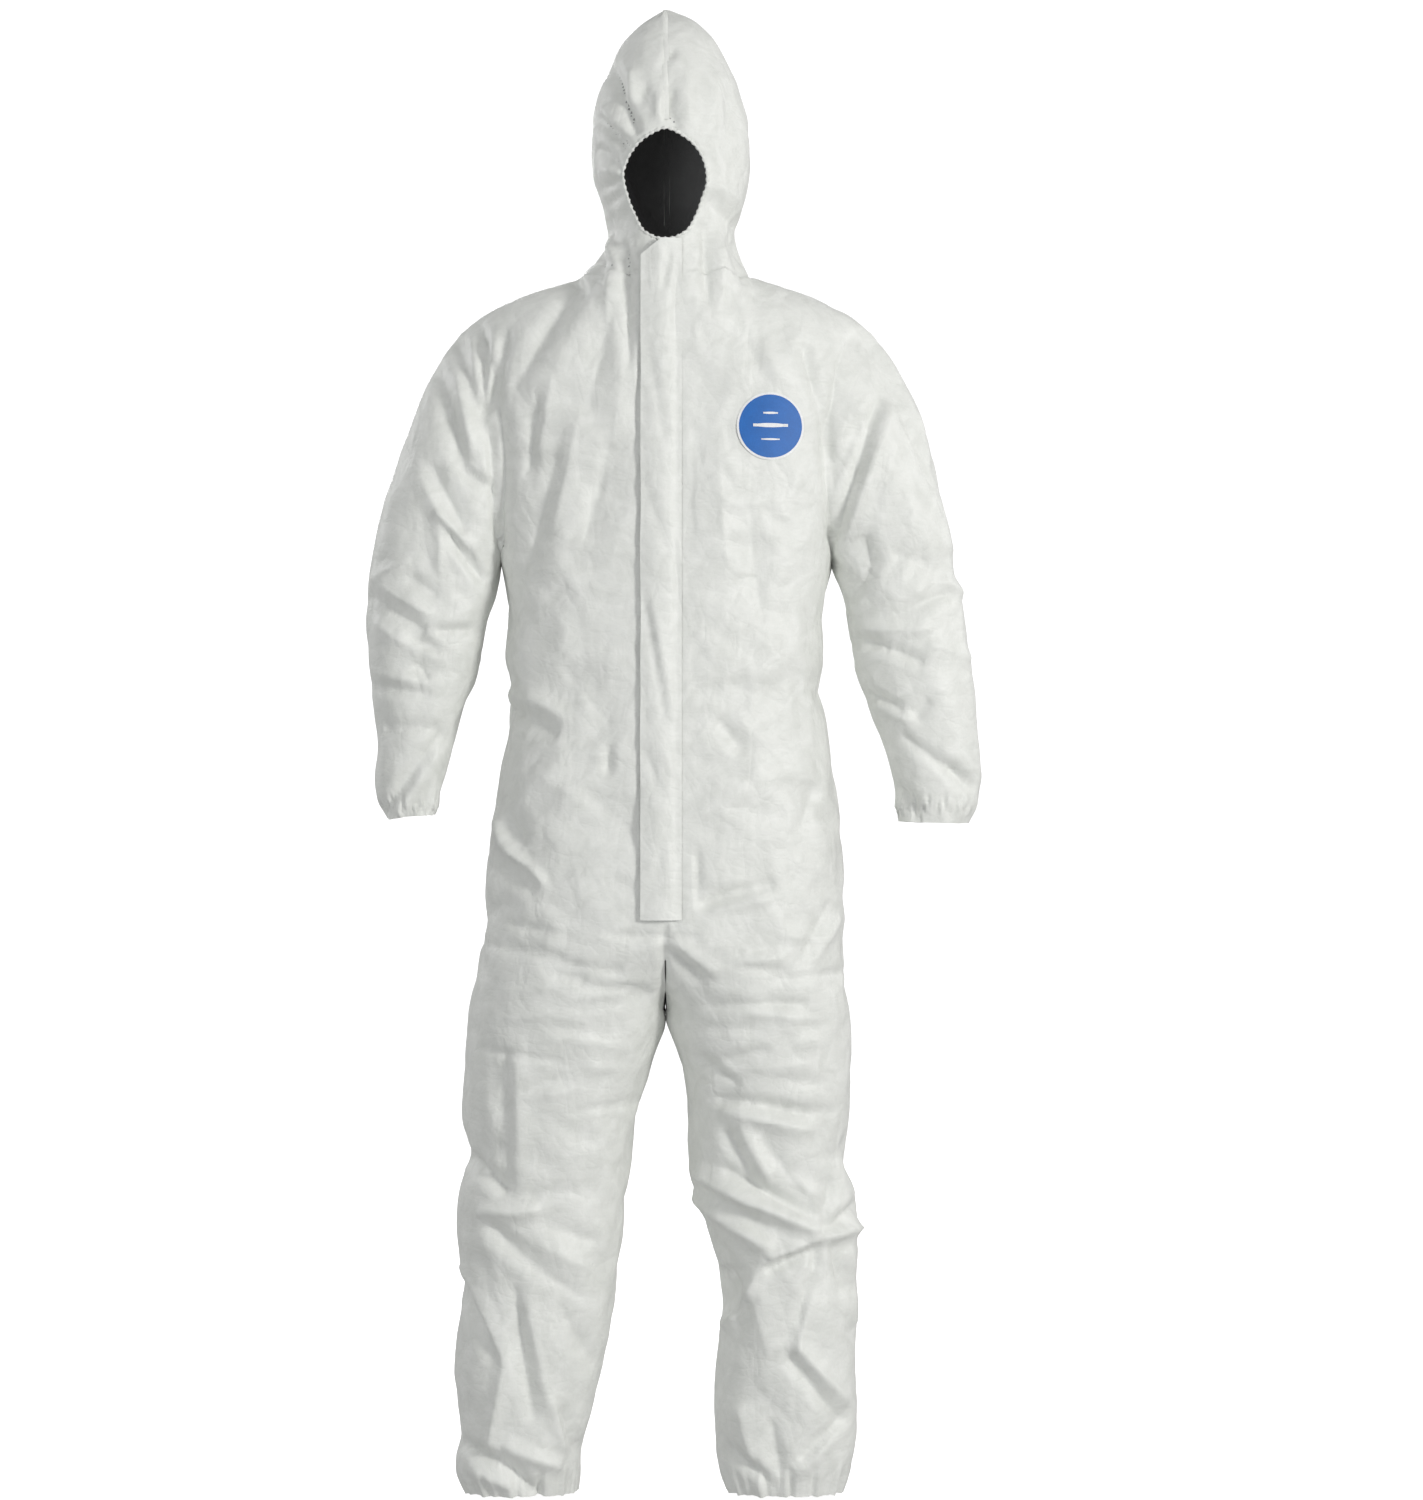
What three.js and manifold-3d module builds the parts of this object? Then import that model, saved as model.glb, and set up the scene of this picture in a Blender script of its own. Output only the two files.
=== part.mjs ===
// Hooded protective coverall, held up at the shoulders as if worn.
// Millimetres, +Z up, front facing -Y, the wearer's left towards +X.
// Heights are written from the ankle hems upwards; the finished group is then lowered so that the
// origin lies in the middle of the neck seam, where the wearer or a hanger carries the suit.

import * as THREE from 'three';
import { mergeVertices } from 'three/addons/utils/BufferGeometryUtils.js';
import Module from 'manifold-3d';

const wasm = await Module();
wasm.setup();

// ---- Driving dimensions -------------------------------------------------------------------

// Heights above the ankle hems
const ankleHemHeight = 8;
const kneeHeight = 320;
const thighTopHeight = 480;
const seatHeight = 600;
const zipBottomHeight = 672;
const waistHeight = 925;
const armpitHeight = 1083;
const chestHeight = 1270;
const neckHeight = 1410;
const chinHeight = 1444;
const hoodSeamHeight = 1475;
const browHeight = 1574;
const hoodTopHeight = 1717;
const wristHemHeight = 784;
const elbowHeight = 965;

// Half-widths seen from the front
const hipHalfWidth = 207;
const waistHalfWidth = 180;
const armpitHalfWidth = 190;
const chestHalfWidth = 212;
const neckHalfWidth = 98;
const shoulderHalfWidth = 208;
const shoulderDrop = 38;
const hoodHalfWidth = 91;
const faceHalfWidth = 47;

// Depths from the middle plane
const seatFrontDepth = 130;
const neckFrontDepth = 99;
const hipBackDepth = 124;
const waistBackDepth = 106;
const chestBackDepth = 122;
const neckBackDepth = 72;
const hoodFrontDepth = 106;
const hoodBackDepth = 118;
const armholeHalfDepth = 64;

// Cloth, gaps and net fineness
const clothWall = 2;
const seamGap = 0.4;
const sidesAround = 16;
const panelColumns = 7;
const yokeRows = 4;
const bodySquareness = 3;
const limbSquareness = 2.3;

// Soft zones that bend at the joints
const elbowZoneHalf = 46;
const kneeZoneHalf = 74;

// Elastics and hems
const wristHemDepth = 22;
const ankleHemDepth = 30;
const elasticHeight = 8;
const elasticThickness = 1.2;
const waistElasticHeight = 12;
const faceHemRadius = 3.5;
const faceElasticRadius = 1.2;
const hoodBindingWidth = 7;

// Zip fastener and storm flap
const tapeWidth = 15.4;
const tapeThickness = 0.8;
const coilInner = 1.1;
const coilOuter = 3.2;
const coilThickness = 2.4;
const stopHeight = 4;
const zipTopHeight = 1428;
const sliderWidth = 9;
const sliderLength = 13;
const sliderPlate = 1.6;
const sliderClearance = 0.5;
const bridgeRise = 2.7;
const bridgeBar = 1.1;
const pullThickness = 1.4;
const pullLength = 22;
const flapFreeEdge = -28;
const flapStitchedEdge = 19;
const flapBend = 9;
const flapThickness = 1.6;
const flapClearance = 0.8;

// Badge and label
const badgeCentre = new THREE.Vector2(120, 1232);
const badgeWidth = 72;
const badgeBorder = 2.5;
const badgeThickness = 0.8;
const badgeSides = 28;
const labelWidth = 30;
const labelHeight = 22;

// ---- Materials ------------------------------------------------------------------------------

function cloth(color, roughness) {
  return new THREE.MeshStandardMaterial({ color, roughness, metalness: 0 });
}

const suitCloth = cloth(0xe4e5e2, 0.62);
const elasticCloth = cloth(0xf2f2ef, 0.8);
const zipCloth = cloth(0xf5f5f3, 0.7);
const coilNylon = cloth(0xededea, 0.35);
const badgeBlue = cloth(0x2f6fb8, 0.45);
const badgeWhite = cloth(0xf4f6f8, 0.5);
const stopMetal = new THREE.MeshStandardMaterial({ color: 0xb9bcc0, roughness: 0.35, metalness: 0.9 });

// ---- Geometry helpers -------------------------------------------------------------------------

const lerp = THREE.MathUtils.lerp;
const signedPower = (value, exponent) => Math.sign(value) * Math.abs(value) ** exponent;

// A named value read from a list of stations, straight between them.
function between(stations, height, key) {
  const last = stations[stations.length - 1];
  if (height >= last.z) return last[key];
  const upper = Math.max(1, stations.findIndex((station) => station.z > height));
  const [low, high] = [stations[upper - 1], stations[upper]];
  return lerp(low[key], high[key], (height - low.z) / (high.z - low.z));
}

function signedVolume(positions, indices) {
  const [a, b, c] = [new THREE.Vector3(), new THREE.Vector3(), new THREE.Vector3()];
  let volume = 0;
  for (let i = 0; i < indices.length; i += 3) {
    a.fromArray(positions, 3 * indices[i]);
    b.fromArray(positions, 3 * indices[i + 1]);
    c.fromArray(positions, 3 * indices[i + 2]);
    volume += a.dot(b.cross(c));
  }
  return volume;
}

function solidFrom(points, indices) {
  const positions = points.flatMap((point) => point.toArray());
  if (signedVolume(positions, indices) < 0) indices.reverse();
  const geometry = new THREE.BufferGeometry();
  geometry.setAttribute('position', new THREE.Float32BufferAttribute(positions, 3));
  geometry.setIndex(indices);
  return geometry;
}

// A closed wall between an outer and an inner net, each a list of rows of points.
// With joined, the last column meets the first, as on a tube.
function wallBetween(outer, inner, joined) {
  const rows = outer.length;
  const columns = outer[0].length;
  const points = [...outer.flat(), ...inner.flat()];
  const at = (layer, row, column) => (layer * rows + row) * columns + (column % columns);
  const indices = [];
  const quad = (a, b, c, d) => indices.push(a, b, c, a, c, d);
  const spans = joined ? columns : columns - 1;
  for (let column = 0; column < spans; column += 1) {
    for (let row = 0; row < rows - 1; row += 1) {
      quad(at(0, row, column), at(0, row, column + 1), at(0, row + 1, column + 1), at(0, row + 1, column));
      quad(at(1, row, column), at(1, row + 1, column), at(1, row + 1, column + 1), at(1, row, column + 1));
    }
    quad(at(0, 0, column + 1), at(0, 0, column), at(1, 0, column), at(1, 0, column + 1));
    const top = rows - 1;
    quad(at(0, top, column), at(0, top, column + 1), at(1, top, column + 1), at(1, top, column));
  }
  if (!joined) {
    const end = columns - 1;
    for (let row = 0; row < rows - 1; row += 1) {
      quad(at(0, row, 0), at(0, row + 1, 0), at(1, row + 1, 0), at(1, row, 0));
      quad(at(0, row + 1, end), at(0, row, end), at(1, row, end), at(1, row + 1, end));
    }
  }
  return solidFrom(points, indices);
}

function mirrored(geometry) {
  const copy = geometry.clone();
  copy.scale(-1, 1, 1);
  const index = Array.from(copy.index.array);
  copy.setIndex(index.reverse());
  return copy;
}

function toManifold(geometry) {
  const bare = geometry.clone();
  bare.deleteAttribute('normal');
  bare.deleteAttribute('uv');
  const merged = mergeVertices(bare, 1e-4);
  return new wasm.Manifold(new wasm.Mesh({
    numProp: 3,
    vertProperties: new Float32Array(merged.attributes.position.array),
    triVerts: new Uint32Array(merged.index.array),
  }));
}

function fromManifold(solid) {
  const mesh = solid.getMesh();
  const geometry = new THREE.BufferGeometry();
  geometry.setAttribute('position', new THREE.BufferAttribute(new Float32Array(mesh.vertProperties), 3));
  geometry.setIndex(Array.from(mesh.triVerts));
  return geometry;
}

function joinedSolids(geometries) {
  return fromManifold(geometries.map(toManifold).reduce((sum, solid) => sum.add(solid)));
}

// A box given by its lowest and highest corners.
function boxBetween(low, high) {
  const size = high.map((value, axis) => value - low[axis]);
  const box = new THREE.BoxGeometry(...size);
  box.translate(...low.map((value, axis) => value + size[axis] / 2));
  return box;
}

// ---- Torso ------------------------------------------------------------------------------------

const lowTapeEdge = tapeWidth + seamGap;
const zipSlope = (seatFrontDepth - neckFrontDepth) / (neckHeight - seatHeight);
const zipLine = (height) => -seatFrontDepth + zipSlope * (height - seatHeight);

// Half-width and back depth of the torso; the front depth follows the straight zip line.
const torsoStations = [
  { z: seatHeight, width: hipHalfWidth + 5, back: hipBackDepth - 2 },
  { z: zipBottomHeight - 4, width: hipHalfWidth, back: hipBackDepth },
  { z: zipBottomHeight, width: hipHalfWidth, back: hipBackDepth },
  { z: lerp(zipBottomHeight, waistHeight, 0.4), width: hipHalfWidth - 6, back: hipBackDepth - 2 },
  { z: lerp(zipBottomHeight, waistHeight, 0.7), width: waistHalfWidth + 7, back: waistBackDepth + 8 },
  { z: waistHeight, width: waistHalfWidth, back: waistBackDepth },
  { z: lerp(waistHeight, armpitHeight, 0.6), width: waistHalfWidth + 2, back: waistBackDepth + 6 },
  { z: armpitHeight, width: armpitHalfWidth, back: chestBackDepth - 4 },
  { z: lerp(armpitHeight, chestHeight, 0.2), width: armpitHalfWidth + 7, back: chestBackDepth - 2 },
  { z: lerp(armpitHeight, chestHeight, 0.55), width: chestHalfWidth - 6, back: chestBackDepth },
  { z: chestHeight, width: chestHalfWidth, back: chestBackDepth },
];

const armholeMiddle = (armpitHeight + neckHeight - shoulderDrop) / 2;
const armholeHalfHeight = armholeMiddle - armpitHeight;

// Depth of the armhole's edge at a height: none below the armpit, round above it.
function armholeDepth(height) {
  const rise = (height - armholeMiddle) / armholeHalfHeight;
  return rise <= -1 ? 0 : armholeHalfDepth * Math.sqrt(Math.max(0, 1 - rise * rise));
}

// A point of the torso below the yoke. across runs from 0 at the middle to 1 at the side.
function torsoPoint(height, across, toFront, inset) {
  const halfWidth = between(torsoStations, height, 'width') - inset;
  const depth = (toFront ? -zipLine(height) : between(torsoStations, height, 'back')) - inset;
  const zipped = toFront && height > zipBottomHeight - 2;
  const middleEdge = zipped ? lowTapeEdge : seamGap / 2;
  const start = Math.asin((middleEdge / halfWidth) ** (bodySquareness / 2));
  const end = Math.acos((armholeDepth(height) / depth) ** (bodySquareness / 2));
  const angle = lerp(start, end, across);
  const x = halfWidth * Math.sin(angle) ** (2 / bodySquareness);
  const y = depth * Math.max(Math.cos(angle), 0) ** (2 / bodySquareness);
  const sideGap = seamGap / 2;
  return new THREE.Vector3(x, (y + sideGap) * (toFront ? -1 : 1), height);
}

// The neckline, then the shoulder seam, as one line from the middle to the shoulder tip.
function necklinePoint(across, toFront, inset) {
  const neckShare = 0.6;
  const sign = toFront ? -1 : 1;
  const neckWidth = neckHalfWidth - inset;
  if (across > neckShare) {
    const along = (across - neckShare) / (1 - neckShare);
    const x = lerp(neckWidth, shoulderHalfWidth, along);
    return new THREE.Vector3(x, sign * (seamGap / 2 + inset * 0.2), neckHeight - along * shoulderDrop);
  }
  const middleEdge = toFront ? lowTapeEdge : seamGap / 2;
  const depth = (toFront ? neckFrontDepth : neckBackDepth) - inset;
  const start = Math.asin(middleEdge / neckWidth);
  const angle = lerp(start, Math.PI / 2, across / neckShare);
  const y = sign * (depth * Math.cos(angle) + seamGap / 2 + inset * 0.2);
  return new THREE.Vector3(neckWidth * Math.sin(angle), y, neckHeight);
}

// A point of the rounded yoke between the chest and the neckline.
function yokePoint(rise, across, toFront, inset) {
  const turn = (rise * Math.PI) / 2;
  const low = torsoPoint(chestHeight, across, toFront, inset);
  const high = necklinePoint(across, toFront, inset);
  const point = low.clone().lerp(high, 1 - Math.cos(turn));
  point.z = lerp(low.z, high.z - inset * Math.sin(turn), Math.sin(turn));
  if (toFront) {
    const middleLow = torsoPoint(chestHeight, 0, true, inset);
    const middleHigh = necklinePoint(0, true, inset);
    const middleHeight = lerp(middleLow.z, middleHigh.z, Math.sin(turn));
    const middleDepth = lerp(middleLow.y, middleHigh.y, 1 - Math.cos(turn));
    point.y += (zipLine(middleHeight) + inset - middleDepth) * (1 - across) ** 3;
  }
  return point;
}

// One net of a torso panel, front or back, at an inset from the outer face.
function torsoNet(toFront, inset) {
  const heights = torsoStations.map((station) => station.z);
  const columns = Array.from({ length: panelColumns + 1 }, (_, column) => column / panelColumns);
  const rows = heights.map((height) => columns.map((across) => torsoPoint(height, across, toFront, inset)));
  for (let row = 1; row <= yokeRows; row += 1) {
    rows.push(columns.map((across) => yokePoint(row / yokeRows, across, toFront, inset)));
  }
  return rows;
}

function torsoPanel(toFront) {
  return wallBetween(torsoNet(toFront, 0), torsoNet(toFront, clothWall), false);
}

// A band inside the waist, from side to side round the back.
function waistElastic() {
  const low = waistHeight - waistElasticHeight / 2;
  const nets = [seamGap, seamGap + elasticThickness].map((offset) => {
    const inset = clothWall + offset;
    return [low, waistHeight, low + waistElasticHeight].map((height) => {
      const leftHalf = [];
      for (let column = panelColumns; column >= 0; column -= 1) {
        leftHalf.push(torsoPoint(height, column / panelColumns, false, inset));
      }
      const rightHalf = leftHalf.map((point) => point.clone().setX(-point.x)).reverse();
      return [...leftHalf, ...rightHalf];
    });
  });
  return wallBetween(nets[0], nets[1], false);
}

// A round plate that follows the left front panel, a little in front of it.
function badgePlate(width, lift) {
  const skin = wallBetween(torsoNet(true, -lift - badgeThickness), torsoNet(true, -lift), false);
  const cutter = new THREE.CylinderGeometry(width / 2, width / 2, 2 * chestBackDepth, badgeSides);
  cutter.translate(badgeCentre.x, -chestBackDepth, badgeCentre.y);
  return fromManifold(toManifold(skin).intersect(toManifold(cutter)));
}

// A small sewn-in label inside the nape.
function sizeLabel() {
  const top = neckHeight - clothWall - seamGap;
  const innerWidth = neckHalfWidth - clothWall;
  const innerDepth = neckBackDepth - clothWall;
  const back = innerDepth * Math.sqrt(1 - (labelWidth / 2 / innerWidth) ** 2) - seamGap / 2;
  return boxBetween([-labelWidth / 2, back - badgeThickness, top - labelHeight], [labelWidth / 2, back, top]);
}

// ---- Hood ---------------------------------------------------------------------------------------

const hoodMiddle = (browHeight + hoodSeamHeight) / 2 + 40;

// Half-width, front and back depth of the hood from the neck seam to the crown.
const hoodStations = [
  { z: neckHeight + seamGap, width: neckHalfWidth, front: -zipLine(neckHeight), back: neckBackDepth },
  { z: neckHeight + 20, width: hoodHalfWidth - 9, front: -zipLine(neckHeight + 20), back: neckBackDepth },
  { z: chinHeight + 10, width: hoodHalfWidth - 17, front: neckFrontDepth, back: neckBackDepth + 2 },
  { z: hoodSeamHeight, width: hoodHalfWidth - 12, front: neckFrontDepth + 1, back: neckBackDepth + 12 },
  { z: hoodSeamHeight + 40, width: hoodHalfWidth - 3, front: hoodFrontDepth - 3, back: hoodBackDepth - 14 },
  { z: browHeight, width: hoodHalfWidth, front: hoodFrontDepth, back: hoodBackDepth },
  { z: hoodMiddle + 20, width: hoodHalfWidth - 6, front: hoodFrontDepth - 6, back: hoodBackDepth - 4 },
  { z: hoodTopHeight - 60, width: hoodHalfWidth - 26, front: hoodFrontDepth - 24, back: hoodBackDepth - 24 },
  { z: hoodTopHeight - 25, width: hoodHalfWidth - 48, front: hoodFrontDepth - 54, back: hoodBackDepth - 54 },
  { z: hoodTopHeight - 6, width: 20, front: 24, back: 30 },
  { z: hoodTopHeight, width: 2, front: 2, back: 2 },
];

const faceWidestHeight = lerp(chinHeight, browHeight, 0.6);

// Half-width of the face opening, pointed below and round above, with its edge moved out by grow.
function faceOpening(height, grow = 0) {
  const [low, high] = [chinHeight - grow, browHeight + grow];
  const halfWidth = faceHalfWidth + grow;
  if (height <= low || height >= high) return 0;
  if (height < faceWidestHeight) {
    const rise = (height - low) / (faceWidestHeight - low);
    return halfWidth * Math.sin((rise * Math.PI) / 2) ** 0.8;
  }
  const rise = (height - faceWidestHeight) / (high - faceWidestHeight);
  return halfWidth * Math.sqrt(1 - rise * rise);
}

function hoodPoint(height, angle, inset) {
  const shrink = (value) => Math.max(value - inset, value * 0.2);
  const width = shrink(between(hoodStations, height, 'width'));
  const depth = shrink(between(hoodStations, height, Math.cos(angle) > 0 ? 'front' : 'back'));
  const drop = inset * THREE.MathUtils.smoothstep(height, hoodTopHeight - 70, hoodTopHeight);
  const x = width * signedPower(Math.sin(angle), 2 / limbSquareness);
  const y = -depth * signedPower(Math.cos(angle), 2 / limbSquareness);
  return new THREE.Vector3(Math.max(x, 0) + seamGap / 2, y, height - drop);
}

// The angle at which the hood's surface stands at a given distance from the middle.
function hoodAngle(height, x) {
  const width = between(hoodStations, height, 'width');
  return Math.asin(Math.min(1, (x / width) ** (limbSquareness / 2)));
}

function hoodNet(heights, edge, inset) {
  const columns = 10;
  return heights.map((height) => {
    const start = hoodAngle(height, edge(height));
    return Array.from({ length: columns + 1 }, (_, column) => (
      hoodPoint(height, lerp(start, Math.PI, column / columns), inset)
    ));
  });
}

const hemClearance = faceHemRadius + 0.9;
const openingEdge = (height) => faceOpening(height, hemClearance);

function hoodHalf() {
  const crown = hoodStations.filter((station) => station.z >= browHeight + 10).map((station) => station.z);
  const brow = browHeight + hemClearance;
  const turns = [0, 30, 50, 65, 76, 84, 90].map((degrees) => Math.sin(THREE.MathUtils.degToRad(degrees)));
  const arch = turns.map((rise) => lerp(faceWidestHeight, brow, rise));
  const middle = lerp(hoodSeamHeight, faceWidestHeight, 0.5);
  const heights = [hoodSeamHeight + seamGap, middle, ...arch, ...crown];
  return wallBetween(hoodNet(heights, openingEdge, 0), hoodNet(heights, openingEdge, clothWall), false);
}

// The lower hood, open at the front for the zip and the point of the face opening.
function hoodNeck() {
  const point = [0, 4, 10, 18].map((rise) => chinHeight + rise);
  const heights = [neckHeight + seamGap, neckHeight + 20, ...point, hoodSeamHeight];
  const edge = (height) => Math.max(lowTapeEdge, openingEdge(height) + seamGap);
  const sides = [0, clothWall].map((inset) => {
    const left = hoodNet(heights, edge, inset);
    return left.map((row) => {
      const right = row.slice(0, -1).map((spot) => spot.clone().setX(-spot.x)).reverse();
      const back = row[row.length - 1].clone().setX(0);
      return [...row.slice(0, -1), back, ...right];
    });
  });
  return wallBetween(sides[0], sides[1], false);
}

// A closed loop round the face opening, on the hood's front surface.
function faceLoop(inward, backward) {
  const points = [];
  const count = 12;
  const low = chinHeight + 4;
  const face = (height, side) => {
    const x = Math.max(0, faceOpening(height) - inward);
    const depth = between(hoodStations, height, 'front');
    const width = between(hoodStations, height, 'width');
    const y = -depth * (1 - (x / width) ** limbSquareness) ** (1 / limbSquareness);
    return new THREE.Vector3(side * x, y + backward, height);
  };
  for (let step = 0; step < count; step += 1) {
    const turn = (step / count) * 2 * Math.PI;
    const middle = (low + browHeight) / 2;
    const half = (browHeight - low) / 2 - inward;
    const height = middle - half * Math.cos(turn);
    points.push(face(height, Math.sin(turn) >= 0 ? 1 : -1));
  }
  return new THREE.CatmullRomCurve3(points, true, 'centripetal');
}

function faceRing(inward, backward, radius, sides) {
  const section = new THREE.Shape();
  for (let side = 0; side < sides; side += 1) {
    const turn = ((side + 0.5) / sides) * 2 * Math.PI;
    const point = [radius * Math.cos(turn), radius * Math.sin(turn)];
    if (side === 0) section.moveTo(...point);
    else section.lineTo(...point);
  }
  section.closePath();
  return new THREE.ExtrudeGeometry(section, { steps: 32, extrudePath: faceLoop(inward, backward) });
}

// The binding over the hood's middle seam, from the brow over the crown to the nape.
function hoodBinding() {
  const crown = hoodStations.filter((station) => station.z > browHeight + 10).map((station) => station.z);
  const back = hoodStations.filter((station) => station.z > hoodSeamHeight).map((station) => station.z);
  const route = [
    ...[browHeight + hemClearance + 2, ...crown].map((height) => [height, 0]),
    ...[hoodSeamHeight + 2, ...back].reverse().map((height) => [height, Math.PI]),
  ];
  const nets = [clothWall, 0].map((thickness) => (
    route.map(([height, angle]) => {
      const point = hoodPoint(height, angle, -seamGap - thickness);
      return [-1, 1].map((side) => point.clone().setX((side * hoodBindingWidth) / 2));
    })
  ));
  return wallBetween(nets[0], nets[1], false);
}

// ---- Sleeves --------------------------------------------------------------------------------------

// A ring of a limb, from the middle and half of its width line in the XZ plane, and its half-depth.
function ringBetween(outerEnd, innerEnd, halfDepth) {
  const middle = new THREE.Vector2().addVectors(outerEnd, innerEnd).multiplyScalar(0.5);
  const half = new THREE.Vector2().subVectors(outerEnd, innerEnd).multiplyScalar(0.5);
  return { middle, half, halfDepth };
}

function ringAt(height, outerX, innerX, halfDepth) {
  return ringBetween(new THREE.Vector2(outerX, height), new THREE.Vector2(innerX, height), halfDepth);
}

function ringNet(rings, inset) {
  return rings.map((ring) => {
    const halfWidth = ring.half.length();
    const scale = (halfWidth - inset) / halfWidth;
    return Array.from({ length: sidesAround }, (_, side) => {
      const angle = ((side + 0.5) / sidesAround) * 2 * Math.PI;
      const along = signedPower(Math.sin(angle), 2 / limbSquareness) * scale;
      const y = -(ring.halfDepth - inset) * signedPower(Math.cos(angle), 2 / limbSquareness);
      return new THREE.Vector3(ring.middle.x + along * ring.half.x, y, ring.middle.y + along * ring.half.y);
    });
  });
}

function tube(rings, wall = clothWall, inset = 0) {
  return wallBetween(ringNet(rings, inset), ringNet(rings, inset + wall), true);
}

const elbowTop = elbowHeight + elbowZoneHalf;
const elbowBottom = elbowHeight - elbowZoneHalf;
const wristHemTop = wristHemHeight + wristHemDepth;

const sleeveRings = {
  armhole: ringBetween(
    new THREE.Vector2(shoulderHalfWidth + 1, neckHeight - shoulderDrop - 4),
    new THREE.Vector2(armpitHalfWidth + 3, armpitHeight + 3),
    armholeHalfDepth - 2,
  ),
  cap: ringBetween(new THREE.Vector2(250, 1326), new THREE.Vector2(armpitHalfWidth + 4, armpitHeight + 2), 65),
  capLow: ringBetween(new THREE.Vector2(288, 1260), new THREE.Vector2(armpitHalfWidth + 5, armpitHeight), 65),
  upper: ringBetween(new THREE.Vector2(318, 1163), new THREE.Vector2(armpitHalfWidth + 6, armpitHeight - 4), 64),
  armpit: ringAt(armpitHeight - 15, 340, 200, 63),
  elbowTop: ringAt(elbowTop, 350, 208, 60),
  elbow: ringAt(elbowHeight, 352, 221, 57),
  elbowBottom: ringAt(elbowBottom, 351, 234, 53),
  forearm: ringAt(lerp(elbowBottom, wristHemTop, 0.5), 348, 251, 45),
  wristTop: ringAt(wristHemTop, 346, 262, 38),
};

function lowered(ring, drop) {
  return { ...ring, middle: ring.middle.clone().setY(ring.middle.y - drop) };
}

const sleeveShapes = {
  head: () => tube([sleeveRings.armhole, sleeveRings.cap, sleeveRings.capLow]),
  upper: () => tube([
    { ...sleeveRings.capLow, middle: sleeveRings.capLow.middle.clone().add(new THREE.Vector2(0.3, -0.4)) },
    sleeveRings.upper,
    sleeveRings.armpit,
    sleeveRings.elbowTop,
  ]),
  elbow: () => tube([lowered(sleeveRings.elbowTop, seamGap), sleeveRings.elbow, sleeveRings.elbowBottom]),
  lower: () => tube([lowered(sleeveRings.elbowBottom, seamGap), sleeveRings.forearm, sleeveRings.wristTop]),
};

// ---- Legs --------------------------------------------------------------------------------------

const kneeTop = kneeHeight + kneeZoneHalf;
const kneeBottom = kneeHeight - kneeZoneHalf;
const ankleHemTop = ankleHemHeight + ankleHemDepth;

const legRings = {
  top: ringAt(seatHeight - seamGap, hipHalfWidth + 5, 1, 118),
  crotch: ringAt(548, 220, 3, 112),
  thighTop: ringAt(thighTopHeight, 224, 22, 102),
  thigh: ringAt(lerp(kneeTop, thighTopHeight, 0.4), 222, 32, 95),
  kneeTop: ringAt(kneeTop, 219, 36, 89),
  knee: ringAt(kneeHeight, 231, 48, 84),
  kneeBottom: ringAt(kneeBottom, 229, 59, 80),
  shin: ringAt(150, 231, 66, 76),
  gather: ringAt(ankleHemTop + 36, 229, 76, 68),
  ankleTop: ringAt(ankleHemTop, 218, 84, 58),
};

const legShapes = {
  top: () => tube([legRings.top, legRings.crotch, legRings.thighTop]),
  thigh: () => tube([lowered(legRings.thighTop, seamGap), legRings.thigh, legRings.kneeTop]),
  knee: () => tube([lowered(legRings.kneeTop, seamGap), legRings.knee, legRings.kneeBottom]),
  lower: () => tube([lowered(legRings.kneeBottom, seamGap), legRings.shin, legRings.gather, legRings.ankleTop]),
};

// ---- Gathered cuffs ---------------------------------------------------------------------------

// A straight band below a limb's last ring, with flat sides that tape can seal to.
function cuffHem(ring, bottom) {
  const top = lowered(ring, seamGap);
  return tube([top, lowered(ring, ring.middle.y - bottom)]);
}

function cuffElastic(ring, bottom) {
  const middle = (ring.middle.y + bottom) / 2;
  const low = lowered(ring, ring.middle.y - middle + elasticHeight / 2);
  const high = lowered(ring, ring.middle.y - middle - elasticHeight / 2);
  return tube([low, high], elasticThickness, clothWall + seamGap);
}

// ---- Zip fastener -----------------------------------------------------------------------------

const zipTilt = -Math.atan(zipSlope);

// Zip pieces are drawn upright round the zip's middle plane and then leaned onto the zip line.
function onZipLine(geometry, height) {
  geometry.rotateX(zipTilt);
  geometry.translate(0, zipLine(height), height);
  return geometry;
}

const zipLength = (zipTopHeight - zipBottomHeight) * Math.hypot(1, zipSlope);
const tapeCentre = tapeThickness / 2;

function zipTape() {
  const low = [coilOuter + seamGap, -tapeCentre, 0];
  return onZipLine(boxBetween(low, [tapeWidth, tapeCentre, zipLength]), zipBottomHeight);
}

function zipCoil() {
  const half = coilThickness / 2;
  const low = [coilInner, -half, stopHeight + seamGap];
  const high = [coilOuter, half, zipLength - stopHeight - seamGap];
  return onZipLine(boxBetween(low, high), zipBottomHeight);
}

function zipTopStop() {
  const half = coilThickness / 2;
  const low = [coilInner, -half, zipLength - stopHeight];
  return onZipLine(boxBetween(low, [coilOuter, half, zipLength]), zipBottomHeight);
}

function zipBottomStop() {
  const half = coilThickness / 2;
  return onZipLine(boxBetween([-coilOuter, -half, 0], [coilOuter, half, stopHeight]), zipBottomHeight);
}

const sliderInner = coilThickness / 2 + sliderClearance;
const sliderOuter = sliderInner + sliderPlate;
const sliderTop = zipLength - stopHeight - seamGap;
const pinDepth = -(sliderOuter + bridgeRise / 2);

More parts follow.
